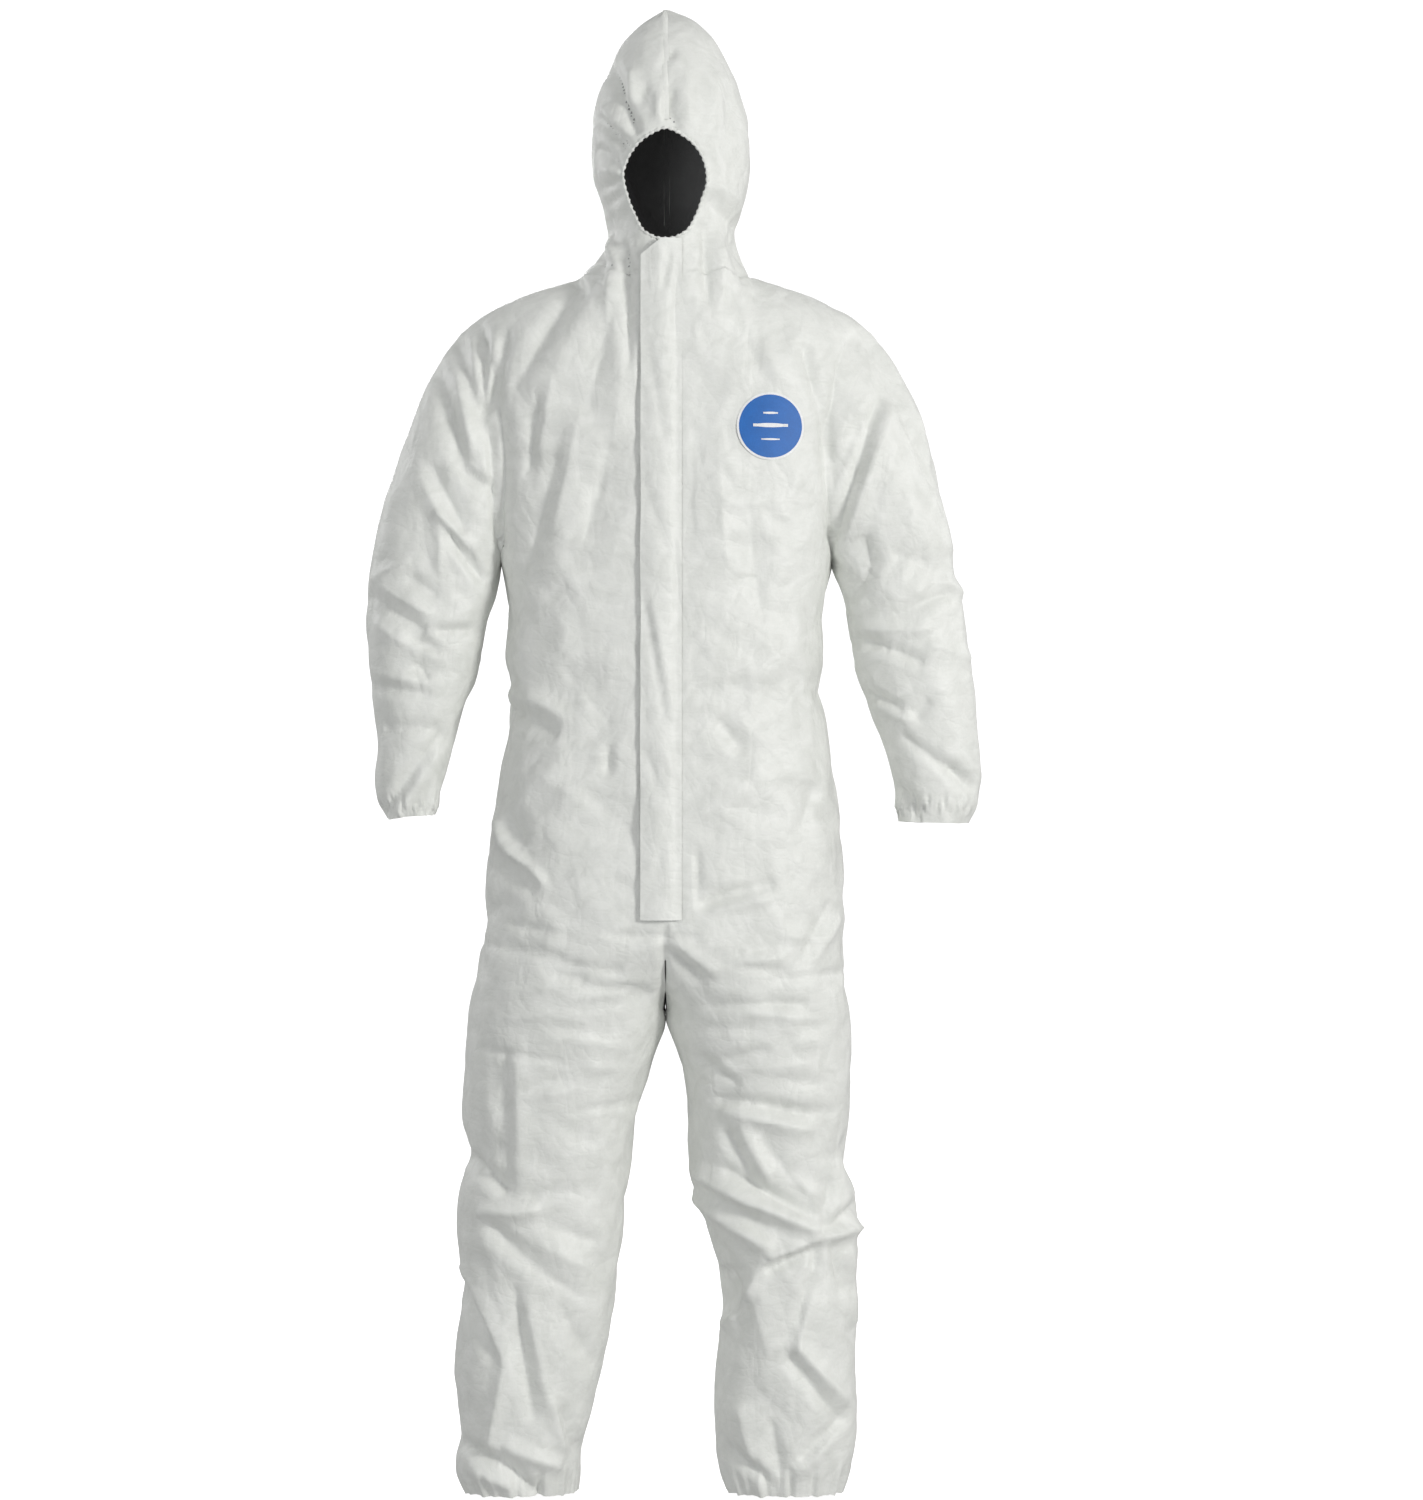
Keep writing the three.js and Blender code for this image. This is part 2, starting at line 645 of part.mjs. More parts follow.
// Two plates round the coils, the post between them and the bridge that holds the pull.
function zipSlider() {
  const halfWidth = sliderWidth / 2;
  const postHalf = coilInner - sliderClearance;
  const bridgeHalf = 1;
  const bridgeSpan = 3.4;
  const middle = -sliderLength / 2;
  const plate = (near, far) => boxBetween([-halfWidth, near, -sliderLength], [halfWidth, far, 0]);
  const leg = (low, high) => boxBetween(
    [-bridgeHalf, -sliderOuter - bridgeRise - bridgeBar, low],
    [bridgeHalf, -sliderOuter + 0.2, high],
  );
  const parts = [
    plate(-sliderOuter, -sliderInner),
    plate(sliderInner, sliderOuter),
    boxBetween([-postHalf, -sliderInner - 0.2, middle], [postHalf, sliderInner + 0.2, -1]),
    leg(middle + 2.2, middle + bridgeSpan),
    leg(middle - bridgeSpan, middle - 2.2),
    boxBetween(
      [-bridgeHalf, -sliderOuter - bridgeRise - bridgeBar, middle - bridgeSpan],
      [bridgeHalf, -sliderOuter - bridgeRise, middle + bridgeSpan],
    ),
  ];
  const slider = joinedSolids(parts);
  slider.translate(0, 0, sliderTop);
  return onZipLine(slider, zipBottomHeight);
}

// A frame whose top bar lies under the slider's bridge, and the tongue below it.
function zipPull() {
  const half = pullThickness / 2;
  const middle = sliderTop - sliderLength / 2;
  const [near, far] = [pinDepth - half, pinDepth + half];
  const armHigh = middle + half;
  const parts = [
    boxBetween([-2.9, near, armHigh - pullThickness], [2.9, far, armHigh]),
    boxBetween([-2.9, near, middle - 6], [-1.5, far, armHigh]),
    boxBetween([1.5, near, middle - 6], [2.9, far, armHigh]),
    boxBetween([-2.9, near, middle - pullLength], [2.9, far, middle - 5]),
  ];
  return onZipLine(joinedSolids(parts), zipBottomHeight);
}

// ---- Storm flap -------------------------------------------------------------------------------

// A bent strip: its foot is sewn to the left front panel, and its leaf covers the zip.
function stormFlap() {
  const rise = sliderOuter + bridgeRise + bridgeBar + flapClearance;
  const foot = -tapeCentre - seamGap;
  const inner = [
    [flapStitchedEdge, foot],
    [flapBend, -rise],
    [flapFreeEdge, -rise],
  ];
  const outer = inner.map(([x, y]) => [x, y - flapThickness]);
  const shape = new THREE.Shape();
  [...inner, ...outer.reverse()].forEach(([x, y], index) => {
    if (index === 0) shape.moveTo(x, y);
    else shape.lineTo(x, y);
  });
  shape.closePath();
  const strip = new THREE.ExtrudeGeometry(shape, { depth: zipLength, bevelEnabled: false });
  return onZipLine(strip, zipBottomHeight);
}

// ---- Assembly -------------------------------------------------------------------------------

const suit = new THREE.Group();
suit.position.z = -neckHeight;

function add(name, geometry, material) {
  const mesh = new THREE.Mesh(geometry, material.clone());
  mesh.name = name;
  suit.add(mesh);
}

// The same piece on both sides: the wearer's left is modelled, the right is its mirror image.
function addPair(name, geometry, material) {
  add(`${name}_left`, geometry, material);
  const bare = geometry.index ? geometry : mergeVertices(geometry);
  add(`${name}_right`, mirrored(bare), material);
}

addPair('front_panel', torsoPanel(true), suitCloth);
addPair('back_panel', torsoPanel(false), suitCloth);
add('waist_elastic', waistElastic(), elasticCloth);
add('size_label', sizeLabel(), badgeWhite);
add('badge_backing', badgePlate(badgeWidth + 2 * badgeBorder, seamGap), badgeWhite);
add('chest_badge', badgePlate(badgeWidth, 2 * seamGap + badgeThickness), badgeBlue);

addPair('hood_side', hoodHalf(), suitCloth);
add('hood_neck', hoodNeck(), suitCloth);
add('hood_binding', hoodBinding(), suitCloth);
add('face_hem', faceRing(0, 0, faceHemRadius, 8), suitCloth);
add('face_elastic', faceRing(0, faceHemRadius + faceElasticRadius + seamGap, faceElasticRadius, 6), elasticCloth);

addPair('sleeve_head', sleeveShapes.head(), suitCloth);
addPair('upper_sleeve', sleeveShapes.upper(), suitCloth);
addPair('elbow_zone', sleeveShapes.elbow(), suitCloth);
addPair('lower_sleeve', sleeveShapes.lower(), suitCloth);
addPair('wrist_hem', cuffHem(sleeveRings.wristTop, wristHemHeight), suitCloth);
addPair('wrist_elastic', cuffElastic(sleeveRings.wristTop, wristHemHeight), elasticCloth);

addPair('leg_top', legShapes.top(), suitCloth);
addPair('thigh', legShapes.thigh(), suitCloth);
addPair('knee_zone', legShapes.knee(), suitCloth);
addPair('lower_leg', legShapes.lower(), suitCloth);
addPair('ankle_hem', cuffHem(legRings.ankleTop, ankleHemHeight), suitCloth);
addPair('ankle_elastic', cuffElastic(legRings.ankleTop, ankleHemHeight), elasticCloth);

addPair('zip_tape', zipTape(), zipCloth);
addPair('zip_coil', zipCoil(), coilNylon);
addPair('zip_top_stop', zipTopStop(), stopMetal);
add('zip_bottom_stop', zipBottomStop(), stopMetal);
add('zip_slider', zipSlider(), stopMetal);
add('zip_pull', zipPull(), stopMetal);
add('storm_flap', stormFlap(), suitCloth);

export default suit;
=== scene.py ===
import math

import bmesh
import bpy
import numpy as np
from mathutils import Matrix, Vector, noise


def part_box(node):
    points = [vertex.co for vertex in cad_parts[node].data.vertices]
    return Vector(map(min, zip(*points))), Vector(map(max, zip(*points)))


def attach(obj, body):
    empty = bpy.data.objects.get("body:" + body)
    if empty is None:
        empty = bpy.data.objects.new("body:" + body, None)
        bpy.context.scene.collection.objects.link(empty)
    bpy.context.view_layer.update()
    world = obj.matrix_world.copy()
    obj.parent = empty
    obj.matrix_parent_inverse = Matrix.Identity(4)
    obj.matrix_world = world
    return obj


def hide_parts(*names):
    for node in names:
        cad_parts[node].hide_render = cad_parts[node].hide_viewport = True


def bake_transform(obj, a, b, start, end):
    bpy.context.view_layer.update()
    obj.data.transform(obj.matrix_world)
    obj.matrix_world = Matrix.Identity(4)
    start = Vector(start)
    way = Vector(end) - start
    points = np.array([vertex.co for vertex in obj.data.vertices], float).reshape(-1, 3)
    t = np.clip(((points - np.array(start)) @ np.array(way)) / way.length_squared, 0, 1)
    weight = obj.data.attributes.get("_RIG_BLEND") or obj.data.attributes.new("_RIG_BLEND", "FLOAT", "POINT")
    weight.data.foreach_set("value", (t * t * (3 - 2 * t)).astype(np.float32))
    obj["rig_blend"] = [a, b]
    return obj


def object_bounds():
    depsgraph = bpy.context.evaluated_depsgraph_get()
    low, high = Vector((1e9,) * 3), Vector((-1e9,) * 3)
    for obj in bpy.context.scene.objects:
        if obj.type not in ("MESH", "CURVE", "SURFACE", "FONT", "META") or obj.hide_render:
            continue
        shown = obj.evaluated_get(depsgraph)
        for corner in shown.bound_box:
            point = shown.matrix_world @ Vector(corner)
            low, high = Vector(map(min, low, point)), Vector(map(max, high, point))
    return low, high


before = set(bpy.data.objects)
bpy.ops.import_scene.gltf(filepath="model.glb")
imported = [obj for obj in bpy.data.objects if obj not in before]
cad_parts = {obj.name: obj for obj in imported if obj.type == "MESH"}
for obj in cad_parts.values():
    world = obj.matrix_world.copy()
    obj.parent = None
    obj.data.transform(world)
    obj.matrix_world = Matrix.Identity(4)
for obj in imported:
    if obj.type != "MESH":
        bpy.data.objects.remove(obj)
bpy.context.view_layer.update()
print("frame loaded")

# Heights are millimetres above the ankle hem, as a tailor measures a hanging suit;
# the frame's origin is the middle of the neck seam.
neckHeight = 8 - 1000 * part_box("ankle_hem_left")[0].z

view = {"distance": 6.0, "lens": 124.35, "across": 0.0527, "height": 863}


def metres(points):
    points = np.array(points, float)
    points[..., 2] -= neckHeight
    return points / 1000


def makeCamera():
    data = bpy.data.cameras.new("camera")
    data.lens = view["lens"]
    camera = bpy.data.objects.new("camera", data)
    bpy.context.scene.collection.objects.link(camera)
    camera.location = (view["across"], -view["distance"], (view["height"] - neckHeight) / 1000)
    camera.rotation_euler = (math.radians(90), 0, 0)
    bpy.context.scene.camera = camera


makeCamera()


def smooth(low, high, value):
    t = np.clip((np.asarray(value, float) - low) / (high - low), 0, 1)
    return t * t * (3 - 2 * t)


def mix(a, b, share):
    return a + (b - a) * share


def through(table, at):
    # a smooth curve through the rows of an outline, whose first number is what "at" counts
    table = np.array(sorted(table), float)
    place, value = table[:, 0], table[:, 1:]
    slope = np.gradient(value, place, axis=0)
    at = np.clip(np.atleast_1d(np.asarray(at, float)), place[0], place[-1])
    i = np.clip(np.searchsorted(place, at) - 1, 0, len(place) - 2)
    gap = (place[i + 1] - place[i])[:, None]
    t = (at[:, None] - place[i][:, None]) / gap
    rise = value[i + 1] - value[i]
    curl = (slope[i] + slope[i + 1]) * gap - 2 * rise
    return value[i] + t * gap * slope[i] + t * t * (rise - gap * slope[i] - curl) + t**3 * curl


def evenly(line, count):
    # the same line, with its points the same distance apart
    step = np.linalg.norm(np.diff(line, axis=0), axis=1)
    run = np.concatenate([[0], np.cumsum(step)])
    at = np.linspace(0, run[-1], count)
    return np.stack([np.interp(at, run, line[:, k]) for k in range(3)], 1)


def power(value, squareness):
    return np.sign(value) * np.abs(value) ** (2 / squareness)


suit = {
    "frontColumns": 40, "neckColumns": 20, "wallRows": 24, "yokeRows": 16,
    "trunkRows": 66, "legRows": 68, "sleeveRows": 66, "hoodRows": 42, "faceRows": 20,
    "armpit": 1083, "chest": 1270, "neck": 1410, "crotch": 551, "crotchTop": 650,
    "armholeDepth": 64, "armholeMiddle": 1227.5, "armholeHalf": 144.5,
    "zipBottom": 672, "zipEdge": 9, "bodySquareness": 2.7, "limbSquareness": 2.2,
    "neckHalf": 98, "neckBack": 72, "shoulderTip": 235, "sleeveLength": 580, "hem": 8, "hoodTop": 1719,
}
# height, half-width on the right and on the left, depth of the back
trunkOutline = [
    (551, 229, 213, 118), (600, 219, 206, 122), (650, 210, 205, 124), (700, 207, 205, 123),
    (775, 200, 201, 121), (845, 189, 192, 114), (905, 181, 183, 107), (930, 180, 177, 106),
    (966, 184, 181, 108), (1020, 181, 181, 112), (1083, 190, 191, 118), (1150, 197, 197, 120),
    (1270, 214, 212, 122),
]
# height, outer and inner edge of the right leg and of the left leg, half-depth
legOutline = [
    (8, 232, 104, 205, 72, 58), (34, 243, 100, 214, 62, 65), (75, 238, 92, 220, 57, 70),
    (149, 245, 74, 219, 58, 76), (213, 238, 62, 219, 64, 79), (260, 235, 56, 218, 61, 81),
    (300, 241, 50, 221, 52, 83), (345, 240, 46, 220, 38, 86), (390, 229, 41, 208, 28, 90),
    (440, 235, 34, 211, 25, 95), (495, 233, 18, 214, 20, 103), (551, 229, 0, 213, 0, 112),
    (650, 210, 0, 205, 0, 122),
]
# how far along, the outer edge's x and height, the inner edge's x and height, half-depth
sleeveOutline = {
    -1: [
        (0, 236, 1347, 191, 1083, 63), (50, 266, 1305, 193, 1066, 65), (105, 288, 1256, 195, 1050, 66),
        (160, 306, 1208, 199, 1034, 65), (230, 328, 1142, 207, 1010, 63), (310, 343, 1065, 214, 976, 61),
        (380, 346, 1000, 220, 947, 59), (445, 340, 930, 234, 914, 55), (500, 334, 870, 249, 862, 48),
        (550, 336, 815, 260, 820, 40), (580, 322, 786, 268, 790, 35),
    ],
    1: [
        (0, 234, 1349, 192, 1083, 63), (50, 264, 1309, 196, 1068, 65), (105, 289, 1258, 200, 1056, 66),
        (160, 307, 1206, 205, 1040, 65), (230, 323, 1135, 210, 1018, 63), (310, 339, 1050, 215, 984, 61),
        (380, 350, 985, 221, 950, 59), (445, 358, 922, 235, 912, 56), (500, 362, 868, 253, 866, 50),
        (550, 363, 818, 264, 820, 43), (580, 350, 780, 270, 782, 38),
    ],
}
shoulderLine = [(98, 1410), (133, 1399), (178, 1383), (210, 1366), (235, 1348)]
# height, half-width on the right and on the left, depth in front and behind
hoodOutline = [
    (1410, 98, 98, 100.8, 72), (1432, 79, 86, 100, 72), (1456, 67, 80, 99, 74), (1485, 72, 87, 100, 88),
    (1520, 82, 94, 103, 104), (1574, 86, 96, 106, 118), (1615, 80, 89, 98, 110), (1657, 62, 71, 82, 92),
    (1692, 39, 49, 52, 62), (1710, 17, 27, 23, 30), (1719, 2, 4, 3, 4),
]
faceEdge = [
    (9, 1446), (24, 1453), (33, 1466), (41, 1483), (47, 1506), (48, 1526), (42, 1543), (30, 1557),
    (13, 1568), (0, 1573),
]


def frontDepth(height):
    # the front follows the straight line of the zip, and lies just outside its tapes
    return 131.8 - 0.03827 * (np.minimum(height, suit["neck"]) - 600)


def trunkLine(side, face, height):
    # half a level cut through the trunk, from its middle to the side or the armhole
    right, left, back = through(trunkOutline, height)[0]
    width = left if side > 0 else right
    depth = frontDepth(height) if face < 0 else back
    t = np.linspace(0, math.pi / 2, 400)
    x = width * power(np.sin(t), suit["bodySquareness"])
    y = depth * power(np.cos(t), suit["bodySquareness"])
    if face < 0 and height > suit["zipBottom"]:
        y = np.interp(np.maximum(x, suit["zipEdge"]), x, y)
        x = np.maximum(x, suit["zipEdge"])
    reach = suit["armholeDepth"] * math.sqrt(
        max(0, 1 - ((height - suit["armholeMiddle"]) / suit["armholeHalf"]) ** 2)
    )
    keep = y >= (reach if height > suit["armpit"] else 0) - 1e-6
    x, y = x[keep], y[keep]
    if height > suit["armpit"]:
        x, y = np.append(x, x[-1]), np.append(y, reach)
    line = np.stack([side * x, face * y, np.full(len(x), height)], 1)
    return evenly(line, suit["frontColumns"] + 1)


def legLine(side, face, height):
    # half a level cut through a leg, from the inseam round to the side seam
    row = through(legOutline, height)[0]
    outer, inner = row[2:4] if side > 0 else row[0:2]
    t = np.linspace(0, math.pi, 400)
    x = (outer + inner) / 2 - (outer - inner) / 2 * power(np.cos(t), suit["limbSquareness"])
    y = row[4] * power(np.sin(t), suit["limbSquareness"])
    line = np.stack([side * x, face * y, np.full(len(x), height)], 1)
    return evenly(line, suit["frontColumns"] + 1)


def topLine(side, face):
    # the neckline from the middle to the shoulder, then the shoulder seam to its tip
    neckDepth = {-1: frontDepth(suit["neck"]), 1: suit["neckBack"]}[face]
    t = np.linspace(0, math.pi / 2, 200)
    x = suit["neckHalf"] * power(np.sin(t), suit["limbSquareness"])
    y = neckDepth * power(np.cos(t), suit["limbSquareness"])
    if face < 0:
        y = np.interp(np.maximum(x, suit["zipEdge"]), x, y)
        x = np.maximum(x, suit["zipEdge"])
    neckline = np.stack([side * x, face * y, np.full(len(x), suit["neck"])], 1)
    columns = suit["frontColumns"] - suit["neckColumns"] + 1
    across = np.linspace(suit["neckHalf"], suit["shoulderTip"], columns)
    seam = np.stack([side * across, np.zeros(len(across)), through(shoulderLine, across)[:, 0]], 1)
    return np.concatenate([evenly(neckline, suit["neckColumns"] + 1), seam[1:]])


def yokeRow(wall, top, share):
    # the shoulder rounds from the upright wall of the chest to the neckline and shoulder seam
    turn = share * math.pi / 2
    level = mix(wall[:, :2], top[:, :2], 1 - math.cos(turn))
    height = mix(wall[:, 2], top[:, 2], math.sin(turn))
    return np.column_stack([level, height])


def wallRow(side, face, share):
    # rows bunch towards the armpit beside the armhole and stay level beside the zip
    low, high = suit["armpit"], suit["chest"]
    count = suit["frontColumns"] + 1
    lean = np.linspace(0, 1, count) ** 3
    bunched = low + (high - low) * (1 - math.cos(share * math.pi / 2))
    heights = mix(low + (high - low) * share, bunched, lean)
    return np.array([trunkLine(side, face, heights[k])[k] for k in range(count)])


def bodyGrid(side, face):
    # one sheet from the neck to the ankle, as the panel and the leg are cut in one
    top = topLine(side, face)
    wall = [wallRow(side, face, k / suit["wallRows"]) for k in range(suit["wallRows"], -1, -1)]
    rows = [yokeRow(wall[0], top, k / suit["yokeRows"]) for k in range(suit["yokeRows"], 0, -1)]
    rows += wall
    for height in np.linspace(suit["armpit"], suit["crotch"], suit["trunkRows"] + 1)[1:]:
        turn = smooth(suit["crotchTop"] + 40, suit["crotch"], height)
        under = 1 - math.sqrt(max(0, 1 - float(turn) ** 2))
        rows.append(mix(trunkLine(side, face, height), legLine(side, face, height), under))
    for height in np.linspace(suit["crotch"], suit["hem"], suit["legRows"] + 1)[1:]:
        rows.append(legLine(side, face, height))
    return np.array(rows)


def armholeRing(front, back):
    # up the front edge of the armhole and down its back edge, from armpit to armpit
    last = suit["wallRows"] + suit["yokeRows"]
    up = front[last::-1, -1]
    down = back[0:last + 1, -1]
    return np.concatenate([up, down[1:]])


def sleeveGrid(side, armhole):
    along = np.linspace(0, suit["sleeveLength"], suit["sleeveRows"] + 1)
    table = through(sleeveOutline[side], along)
    half = (len(armhole) + 1) // 2
    t = np.linspace(0, math.pi, 300)
    rows = []
    for place, (outerX, outerZ, innerX, innerZ, depth) in zip(along, table):
        swing = (1 - power(np.cos(t), suit["limbSquareness"])) / 2
        x = mix(innerX, outerX, swing)
        z = mix(innerZ, outerZ, swing)
        y = depth * power(np.sin(t), suit["limbSquareness"])
        front = evenly(np.stack([side * x, -y, z], 1), half)
        back = evenly(np.stack([side * x, y, z], 1), half)
        rows.append(np.concatenate([front, back[-2::-1]]))
    rows = np.array(rows)
    fade = 1 - smooth(0, 130, along)
    return rows + (armhole - rows[0]) * fade[:, None, None]


def hoodGrid(side, neckline):
    faceLine = np.array([(x, 0, z) for x, z in faceEdge], float)
    faceLine = evenly(faceLine, suit["faceRows"] + 1)
    chin = np.linspace(suit["neck"], faceLine[0, 2], 5)[:-1]
    crown = np.linspace(faceLine[-1, 2], suit["hoodTop"], suit["hoodRows"] - suit["faceRows"] - 3)[1:]
    frontX = np.concatenate([np.full(4, suit["zipEdge"]), faceLine[:, 0], np.zeros(len(crown))])
    frontZ = np.concatenate([chin, faceLine[:, 2], crown])
    backZ = np.linspace(suit["neck"], suit["hoodTop"], len(frontZ))
    t = np.linspace(0, 1, 300)
    rows = []
    for startX, low, high in zip(frontX, frontZ, backZ):
        z = mix(low, high, smooth(0, 1, t))
        right, left, front, back = through(hoodOutline, z).T
        width = left if side > 0 else right
        start = math.asin(min(1, startX / width[0]) ** (suit["limbSquareness"] / 2))
        turn = mix(start, math.pi, t)
        x = width * power(np.sin(turn), suit["limbSquareness"])
        y = -np.where(np.cos(turn) > 0, front, back) * power(np.cos(turn), suit["limbSquareness"])
        rows.append(evenly(np.stack([side * x, y, z], 1), 2 * suit["neckColumns"] + 1))
    rows = np.array(rows)
    fade = 1 - smooth(0, 5, np.arange(len(rows)))
    return rows + (neckline - rows[0]) * fade[:, None, None]


def weaveSuit():
    # every grid of both halves, welded where the seams are
    mesh = bmesh.new()
    part = mesh.faces.layers.int.new("part")
    seam = mesh.verts.layers.float.new("seam")
    for side in (-1, 1):
        front, back = bodyGrid(side, -1), bodyGrid(side, 1)
        count = suit["neckColumns"] + 1
        neckline = np.concatenate([front[0, :count], back[0, count - 2::-1]])
        sleeve = sleeveGrid(side, armholeRing(front, back))
        hood = hoodGrid(side, neckline)
        for number, grid in enumerate([front, back, sleeve, hood]):
            addGrid(mesh, metres(grid), side, number, part, seam)
    bmesh.ops.remove_doubles(mesh, verts=mesh.verts, dist=0.0004)
    bmesh.ops.dissolve_degenerate(mesh, dist=0.0001, edges=mesh.edges)
    data = bpy.data.meshes.new("suit_cloth")
    mesh.to_mesh(data)
    mesh.free()
    cloth = bpy.data.objects.new("suit_cloth", data)
    bpy.context.scene.collection.objects.link(cloth)
    return cloth


def addGrid(mesh, grid, side, number, part, seam):
    rows = [[mesh.verts.new(point) for point in row] for row in grid]
    for row in rows:
        row[0][seam] = row[-1][seam] = 1
    for vertex in rows[0]:
        vertex[seam] = 1
    flip = (side > 0) == (number in (0, 2))
    for upper, lower in zip(rows, rows[1:]):
        for k in range(len(upper) - 1):
            corners = [upper[k], lower[k], lower[k + 1], upper[k + 1]]
            face = mesh.faces.new(corners if flip else corners[::-1])
            face.smooth = True
            face[part] = number * 2 + (side > 0)


cloth = weaveSuit()
print("suit woven:", len(cloth.data.vertices), "points")


drape = {
    "frames": 20, "quality": 5, "mass": 0.08, "tension": 40, "shear": 12, "bend": 30,
    "growLeast": -0.008, "growMost": -0.062, "hold": 0.3, "rough": 0.0012, "furthest": 0.015,
}
# height, half of the band's height, how much more cloth there is than the shape needs (0 to 1)
fullBands = [(905, 60, 0.8), (700, 60, 0.45), (570, 110, 0.75), (340, 120, 1.0), (60, 90, 0.9)]
fullSleeves = [(1000, 110, 0.9), (830, 50, 0.6), (1180, 90, 0.35)]


def pointArray(mesh):
    points = np.zeros(len(mesh.vertices) * 3)
    mesh.vertices.foreach_get("co", points)
    return points.reshape(-1, 3)


def normalArray(mesh):
    normals = np.zeros(len(mesh.vertices) * 3)
    mesh.vertex_normals.foreach_get("vector", normals)
    return normals.reshape(-1, 3)


def floatArray(mesh, name):
    values = np.zeros(len(mesh.vertices))
    mesh.attributes[name].data.foreach_get("value", values)
    return values


def heightOf(points):
    return points[:, 2] * 1000 + neckHeight


def sleeveShare(points):
    # 1 on the sleeves, 0 on the trunk and the legs
    return smooth(0.195, 0.235, np.abs(points[:, 0])) * smooth(770, 800, heightOf(points))


def fullness(points):
    height = heightOf(points)
    body = np.max([share * np.exp(-((height - h) / half) ** 2) for h, half, share in fullBands], axis=0)
    arm = np.max([share * np.exp(-((height - h) / half) ** 2) for h, half, share in fullSleeves], axis=0)
    return mix(body, arm, sleeveShare(points)) * smooth(1420, 1330, height)


def setWeights(cloth, name, weights):
    group = cloth.vertex_groups.new(name=name)
    weights = np.round(weights, 2)
    for level in np.unique(weights):
        group.add([int(k) for k in np.flatnonzero(weights == level)], float(level), "REPLACE")


badge = {"across": 120, "height": 1232, "radius": 36, "border": 2.5, "thickness": 0.35, "clear": 0.25}


def badgeShare(points):
    # 1 under the badge, whose print keeps the cloth flat, and 0 away from it
    away = np.hypot(points[:, 0] * 1000 - badge["across"], heightOf(points) - badge["height"])
    return smooth(64, 44, away) * (points[:, 1] < 0)


def crumple(cloth):
    # the cloth is a little larger than its shape, so that it buckles into papery creases
    rest = pointArray(cloth.data)
    normals = normalArray(cloth.data)
    height = heightOf(rest)
    held = np.full(len(rest), drape["hold"])
    underFlap = (np.abs(rest[:, 0]) < 0.03) & (rest[:, 1] < -0.05) & (height > 668) & (height < 1440)
    held[underFlap] = 1
    held = np.maximum(held, 0.75 * badgeShare(rest))
    held = np.maximum(held, 0.6 * (height > 1385) * (height < 1430))
    setWeights(cloth, "held", held)
    setWeights(cloth, "full", fullness(rest))
    start = rest.copy()
    for k in np.flatnonzero(held < 1):
        start[k] += normals[k] * noise.fractal(Vector(rest[k] * 22), 0.8, 2.1, 3) * drape["rough"]
    cloth.data.vertices.foreach_set("co", start.ravel())
    modifier = cloth.modifiers.new("cloth", "CLOTH")
    settings = modifier.settings
    settings.quality = drape["quality"]
    settings.mass = drape["mass"]
    settings.air_damping = 2
    settings.tension_stiffness = settings.compression_stiffness = drape["tension"]
    settings.shear_stiffness = drape["shear"]
    settings.bending_stiffness = drape["bend"]
    settings.tension_damping = settings.compression_damping = 5
    settings.vertex_group_mass = "held"
    settings.shrink_min = drape["growLeast"]
    settings.shrink_max = drape["growMost"]
    settings.vertex_group_shrink = "full"
    settings.effector_weights.gravity = 0.4
    modifier.collision_settings.use_collision = False
    modifier.point_cache.frame_end = drape["frames"]
    for number in range(1, drape["frames"] + 1):
        bpy.context.scene.frame_set(number)
    settled = cloth.evaluated_get(bpy.context.evaluated_depsgraph_get())
    moved = pointArray(settled.data) - rest
    cloth.modifiers.remove(modifier)
    bpy.context.scene.frame_set(1)
    far = np.linalg.norm(moved, axis=1)
    moved *= (np.minimum(far, drape["furthest"]) / np.maximum(far, 1e-9))[:, None]
    cloth.data.vertices.foreach_set("co", (rest + moved).ravel())
    cloth.data.update()


crumple(cloth)
print("cloth settled")


